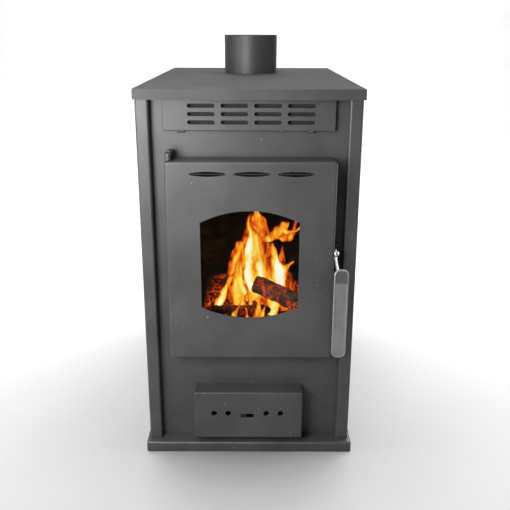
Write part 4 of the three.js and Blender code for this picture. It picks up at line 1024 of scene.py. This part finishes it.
# Each sheet's depth in mm, edge value, seed and tongues. A tongue has a foot and tip (x and z in mm),
# a width, where along it is widest, a bow in mm and its heat.
flameSheets = {
    "flame_back": (-92, 0.13, 31, [
        ((12, 190), (0, 448), 98, 0.46, 8, 0.50), ((-16, 190), (-20, 378), 60, 0.50, -8, 0.42),
        ((56, 196), (70, 366), 50, 0.42, 10, 0.40), ((62, 376), (108, 428), 26, 0.50, 14, 0.46),
        ((-84, 200), (-92, 262), 24, 0.45, -8, 0.22), ((90, 205), (98, 282), 34, 0.45, 6, 0.26),
    ]),
    "flame_middle": (-142, 0.22, 47, [
        ((18, 222), (0, 450), 52, 0.52, 10, 0.56), ((-16, 214), (-20, 368), 34, 0.50, -8, 0.54),
        ((46, 216), (52, 386), 36, 0.54, 9, 0.62), ((54, 268), (62, 356), 17, 0.45, 4, 0.84),
        ((4, 276), (6, 424), 17, 0.50, -7, 0.70), ((24, 262), (18, 372), 12, 0.50, 4, 0.60),
        ((-8, 268), (-14, 350), 11, 0.50, -4, 0.62), ((66, 270), (98, 344), 22, 0.45, -12, 0.52),
        ((-76, 214), (-26, 326), 19, 0.55, -7, 0.66), ((34, 384), (66, 440), 22, 0.50, 12, 0.44),
        ((70, 414), (104, 431), 12, 0.50, 5, 0.42), ((-88, 216), (-80, 254), 15, 0.50, -6, 0.28),
    ]),
    "flame_front": (-188, 0.30, 63, [
        ((2, 206), (20, 296), 20, 0.42, 5, 0.62), ((-36, 206), (-12, 282), 17, 0.45, -5, 0.60),
        ((24, 206), (34, 262), 15, 0.42, -4, 0.66), ((-58, 210), (-44, 256), 13, 0.45, -4, 0.50),
        ((62, 210), (78, 250), 17, 0.45, 5, 0.62), ((44, 208), (40, 240), 13, 0.45, -3, 0.58),
        ((-16, 206), (-8, 262), 14, 0.45, 4, 0.60), ((84, 208), (92, 232), 11, 0.45, 3, 0.50),
    ]),
}


def makeFlames(name, depth, edge, seed, tongueList):
    # One sheet of flame. Each point's heat adds up, like light through stacked filters, from all the
    # tongues: in a tongue it is greatest on the centre line and falls to nothing at the half width,
    # which rises from the foot to the belly and shrinks to a point. The points are first pushed
    # about by several sizes of drift, more with height, so that the tongues curl. The sheet bulges
    # towards both sides by the heat, and is cut off where the heat is below the edge value.
    rng = np.random.default_rng(seed)
    step = flames["step"]
    x, z = np.meshgrid(np.arange(-120, 121, step), np.arange(203.5, 462, step), indexing="ij")
    lift = np.clip((z - 205) / 180, 0, 1)
    px = x + (0.35 + lift) * sum(move * drift(rng, x, z, *kind) for move, *kind in flames["curl"])
    pz = z + (0.3 + lift) * sum(move * drift(rng, x, z, *kind) for move, *kind in flames["stir"])
    cold = np.ones_like(x)
    for foot, tip, width, belly, bow, heat in tongueList:
        foot, tip = np.array(foot, float), np.array(tip, float)
        length = np.linalg.norm(tip - foot)
        way = (tip - foot) / length
        t = ((px - foot[0]) * way[0] + (pz - foot[1]) * way[1]) / length
        off = (px - foot[0]) * way[1] - (pz - foot[1]) * way[0] - bow * np.sin(np.pi * np.clip(t, 0, 1))
        inside = np.clip(t, 0, 1)
        power = belly / (1 - belly)
        rising = ((inside + 0.12) / (belly + 0.12)) ** (0.5 * power)
        half = width / 2 * rising * ((1 - inside) / (1 - belly)) ** 0.75
        across = np.clip(1 - (off / np.maximum(half, 0.5)) ** 2, 0, 1)
        ends = np.clip((t + 0.06) / 0.06, 0, 1) * (t < 1)
        cold = cold * (1 - heat * across ** 0.8 * ends * (1 - 0.3 * inside ** 2))
    heat = 1 - cold
    fibre = drift(rng, px, pz, 6, 4.0) * 0.6 + drift(rng, px, pz, 13, 3.0)
    heat = np.clip(heat * (0.96 + 0.42 * fibre), 0, 1)
    for axis in (0, 1):     # one light smoothing, so that no single cell stands alone
        heat = (np.roll(heat, 1, axis) + 2 * heat + np.roll(heat, -1, axis)) / 4
    heat[[0, -1]] = 0
    heat[:, -1] = 0
    sway, *kind = flames["wave"]
    waves = sway * drift(rng, x, z, *kind)
    bulge = 0.3 + 5.5 * np.clip((heat - edge) / 0.7, 0, 1) ** 0.7
    kept = (heat[:-1, :-1] + heat[1:, :-1] + heat[:-1, 1:] + heat[1:, 1:]) / 4 > edge
    rows, columns = x.shape
    index = np.arange(rows * columns).reshape(rows, columns)
    a, b, c, d = index[:-1, :-1], index[1:, :-1], index[1:, 1:], index[:-1, 1:]
    front = np.stack([a, b, c, d], -1)[kept]
    count = rows * columns
    quads = [front, front[:, ::-1] + count]
    closed = np.pad(kept, 1)
    sides = ((closed[1:-1, :-2], a, b), (closed[2:, 1:-1], b, c), (closed[1:-1, 2:], c, d),
             (closed[:-2, 1:-1], d, a))
    for beyond, start, end in sides:
        rim = kept & ~beyond
        quads.append(np.stack([end[rim], start[rim], start[rim] + count, end[rim] + count], 1))
    quads = np.concatenate(quads)
    face = np.stack([x, depth + waves - bulge, z], -1).reshape(-1, 3)
    rear = np.stack([x, depth + waves + bulge, z], -1).reshape(-1, 3)
    points = np.concatenate([face, rear]) * mm
    warmth = np.tile(heat.ravel(), 2)
    used, quads = np.unique(quads, return_inverse=True)
    points, warmth = points[used], warmth[used]
    quads = quads.reshape(-1, 4)
    for _ in range(3):      # eases the cut edge: every rim point moves towards its neighbours' middle
        total, share = np.zeros_like(points), np.zeros(len(points))
        for k in range(4):
            np.add.at(total, quads[:, k], points[quads[:, (k + 1) % 4]] + points[quads[:, k - 1]])
            np.add.at(share, quads[:, k], 2)
        points = points * 0.4 + total / share[:, None] * 0.6
    piece = meshFrom(name, points, quads.tolist(), "stove_body", [flame], smooth=180, fix=False)
    layer = piece.data.attributes.new("warmth", "FLOAT", "POINT")
    layer.data.foreach_set("value", warmth.astype(np.float32))


for n, (start, end, radius, seed) in enumerate(fire["logs"], 1):
    makeLog(n, start, end, radius, seed)
makeEmbers()
for name, settings in flameSheets.items():
    makeFlames(name, *settings)
print("fire laid")


studio = {      # place and aim in metres, width and height of the softbox, watts, what it is flagged off
    "world": 0.19,
    "sweep": {"front": -7.0, "flat": 2.3, "curve": 1.15, "half": 6.0},      # metres of paper
    "lights": {
        "left_window": ((-1.8, -1.2, 0.9), (0, -0.3, 0.4), (1.2, 1.2), 19.5, "paper"),
        "front_window": ((-0.9, -2.2, 1.6), (0, -0.3, 0.4), (1.0, 1.0), 28.5, "paper"),
        "near_left": ((-0.42, -0.95, 0.64), (-0.1, -0.3, 0.5), (0.4, 0.4), 13.6, "paper"),
        "near_top": ((-0.2, -0.6, 0.95), (-0.12, -0.3, 0.6), (0.25, 0.25), 1.6, "paper"),
        "right_side": ((1.9, 0.5, 0.7), (0.2, 0.1, 0.35), (1.4, 1.4), 44, "paper and top"),
        "rear": ((0.5, 2.1, 0.8), (0, 0.3, 0.35), (1.6, 1.2), 60, "paper and top"),
        "overhead": ((0, 0.62, 2.4), (0, 0.62, 0), (3.4, 2.4), 100, None),
        "backdrop": ((0, 1.5, 2.6), (0, 3.6, 1.0), (3.4, 1.2), 62, None),
    },
}


def makeFloor():
    # Seamless paper: a flat sweep that turns up behind the stove in a quarter circle.
    front, flat, curve, half = studio["sweep"].values()
    angle = np.linspace(0, np.pi / 2, 24)
    y = np.r_[front, flat, flat + curve * np.sin(angle[1:])]
    z = np.r_[0, 0, curve * (1 - np.cos(angle[1:]))]
    sides, along = np.meshgrid([-half, half], y)
    grid = np.stack([sides, along, np.stack([z, z], 1)], -1)
    mesh = bpy.data.meshes.new("paper_floor")
    mesh.from_pydata(grid.reshape(-1, 3).tolist(), [], gridFaces(len(y), 2, False, False))
    mesh.shade_smooth()
    mesh.materials.append(floorMaterial())
    piece = bpy.data.objects.new("paper_floor", mesh)
    scene.collection.objects.link(piece)
    return piece


def makeLight(name, place, aim, size, power, flag):
    data = bpy.data.lights.new(name, "AREA")
    data.shape = "RECTANGLE"
    data.size, data.size_y = size
    data.energy = power
    lamp = bpy.data.objects.new(name, data)
    lamp.location = place
    lamp.rotation_euler = (Vector(aim) - Vector(place)).to_track_quat("-Z", "Y").to_euler()
    lamp.visible_camera = False
    scene.collection.objects.link(lamp)
    if flag:    # keeps this light off some pieces, as black card does in a studio
        lamp.light_linking.receiver_collection = flags[flag]


def makeFlag(name, pieces):
    flag = bpy.data.collections.new(name)
    for n, piece in enumerate(pieces):
        flag.objects.link(piece)
        flag.collection_objects[n].light_linking.link_state = "EXCLUDE"
    return flag


paper = makeFloor()
top = [bpy.data.objects[name] for name in ("lid_sheet", "flue_collar_tube")]
flags = {"paper": makeFlag("flag_paper", [paper]), "paper and top": makeFlag("flag_top", [paper, *top])}
for name, settings in studio["lights"].items():
    makeLight(name, *settings)
world = bpy.data.worlds.new("studio")
world.use_nodes = True
world.node_tree.nodes["Background"].inputs["Color"].default_value = (1, 1, 1, 1)
world.node_tree.nodes["Background"].inputs["Strength"].default_value = studio["world"]
scene.world = world
scene.view_settings.view_transform = "Standard"
print("studio lit")
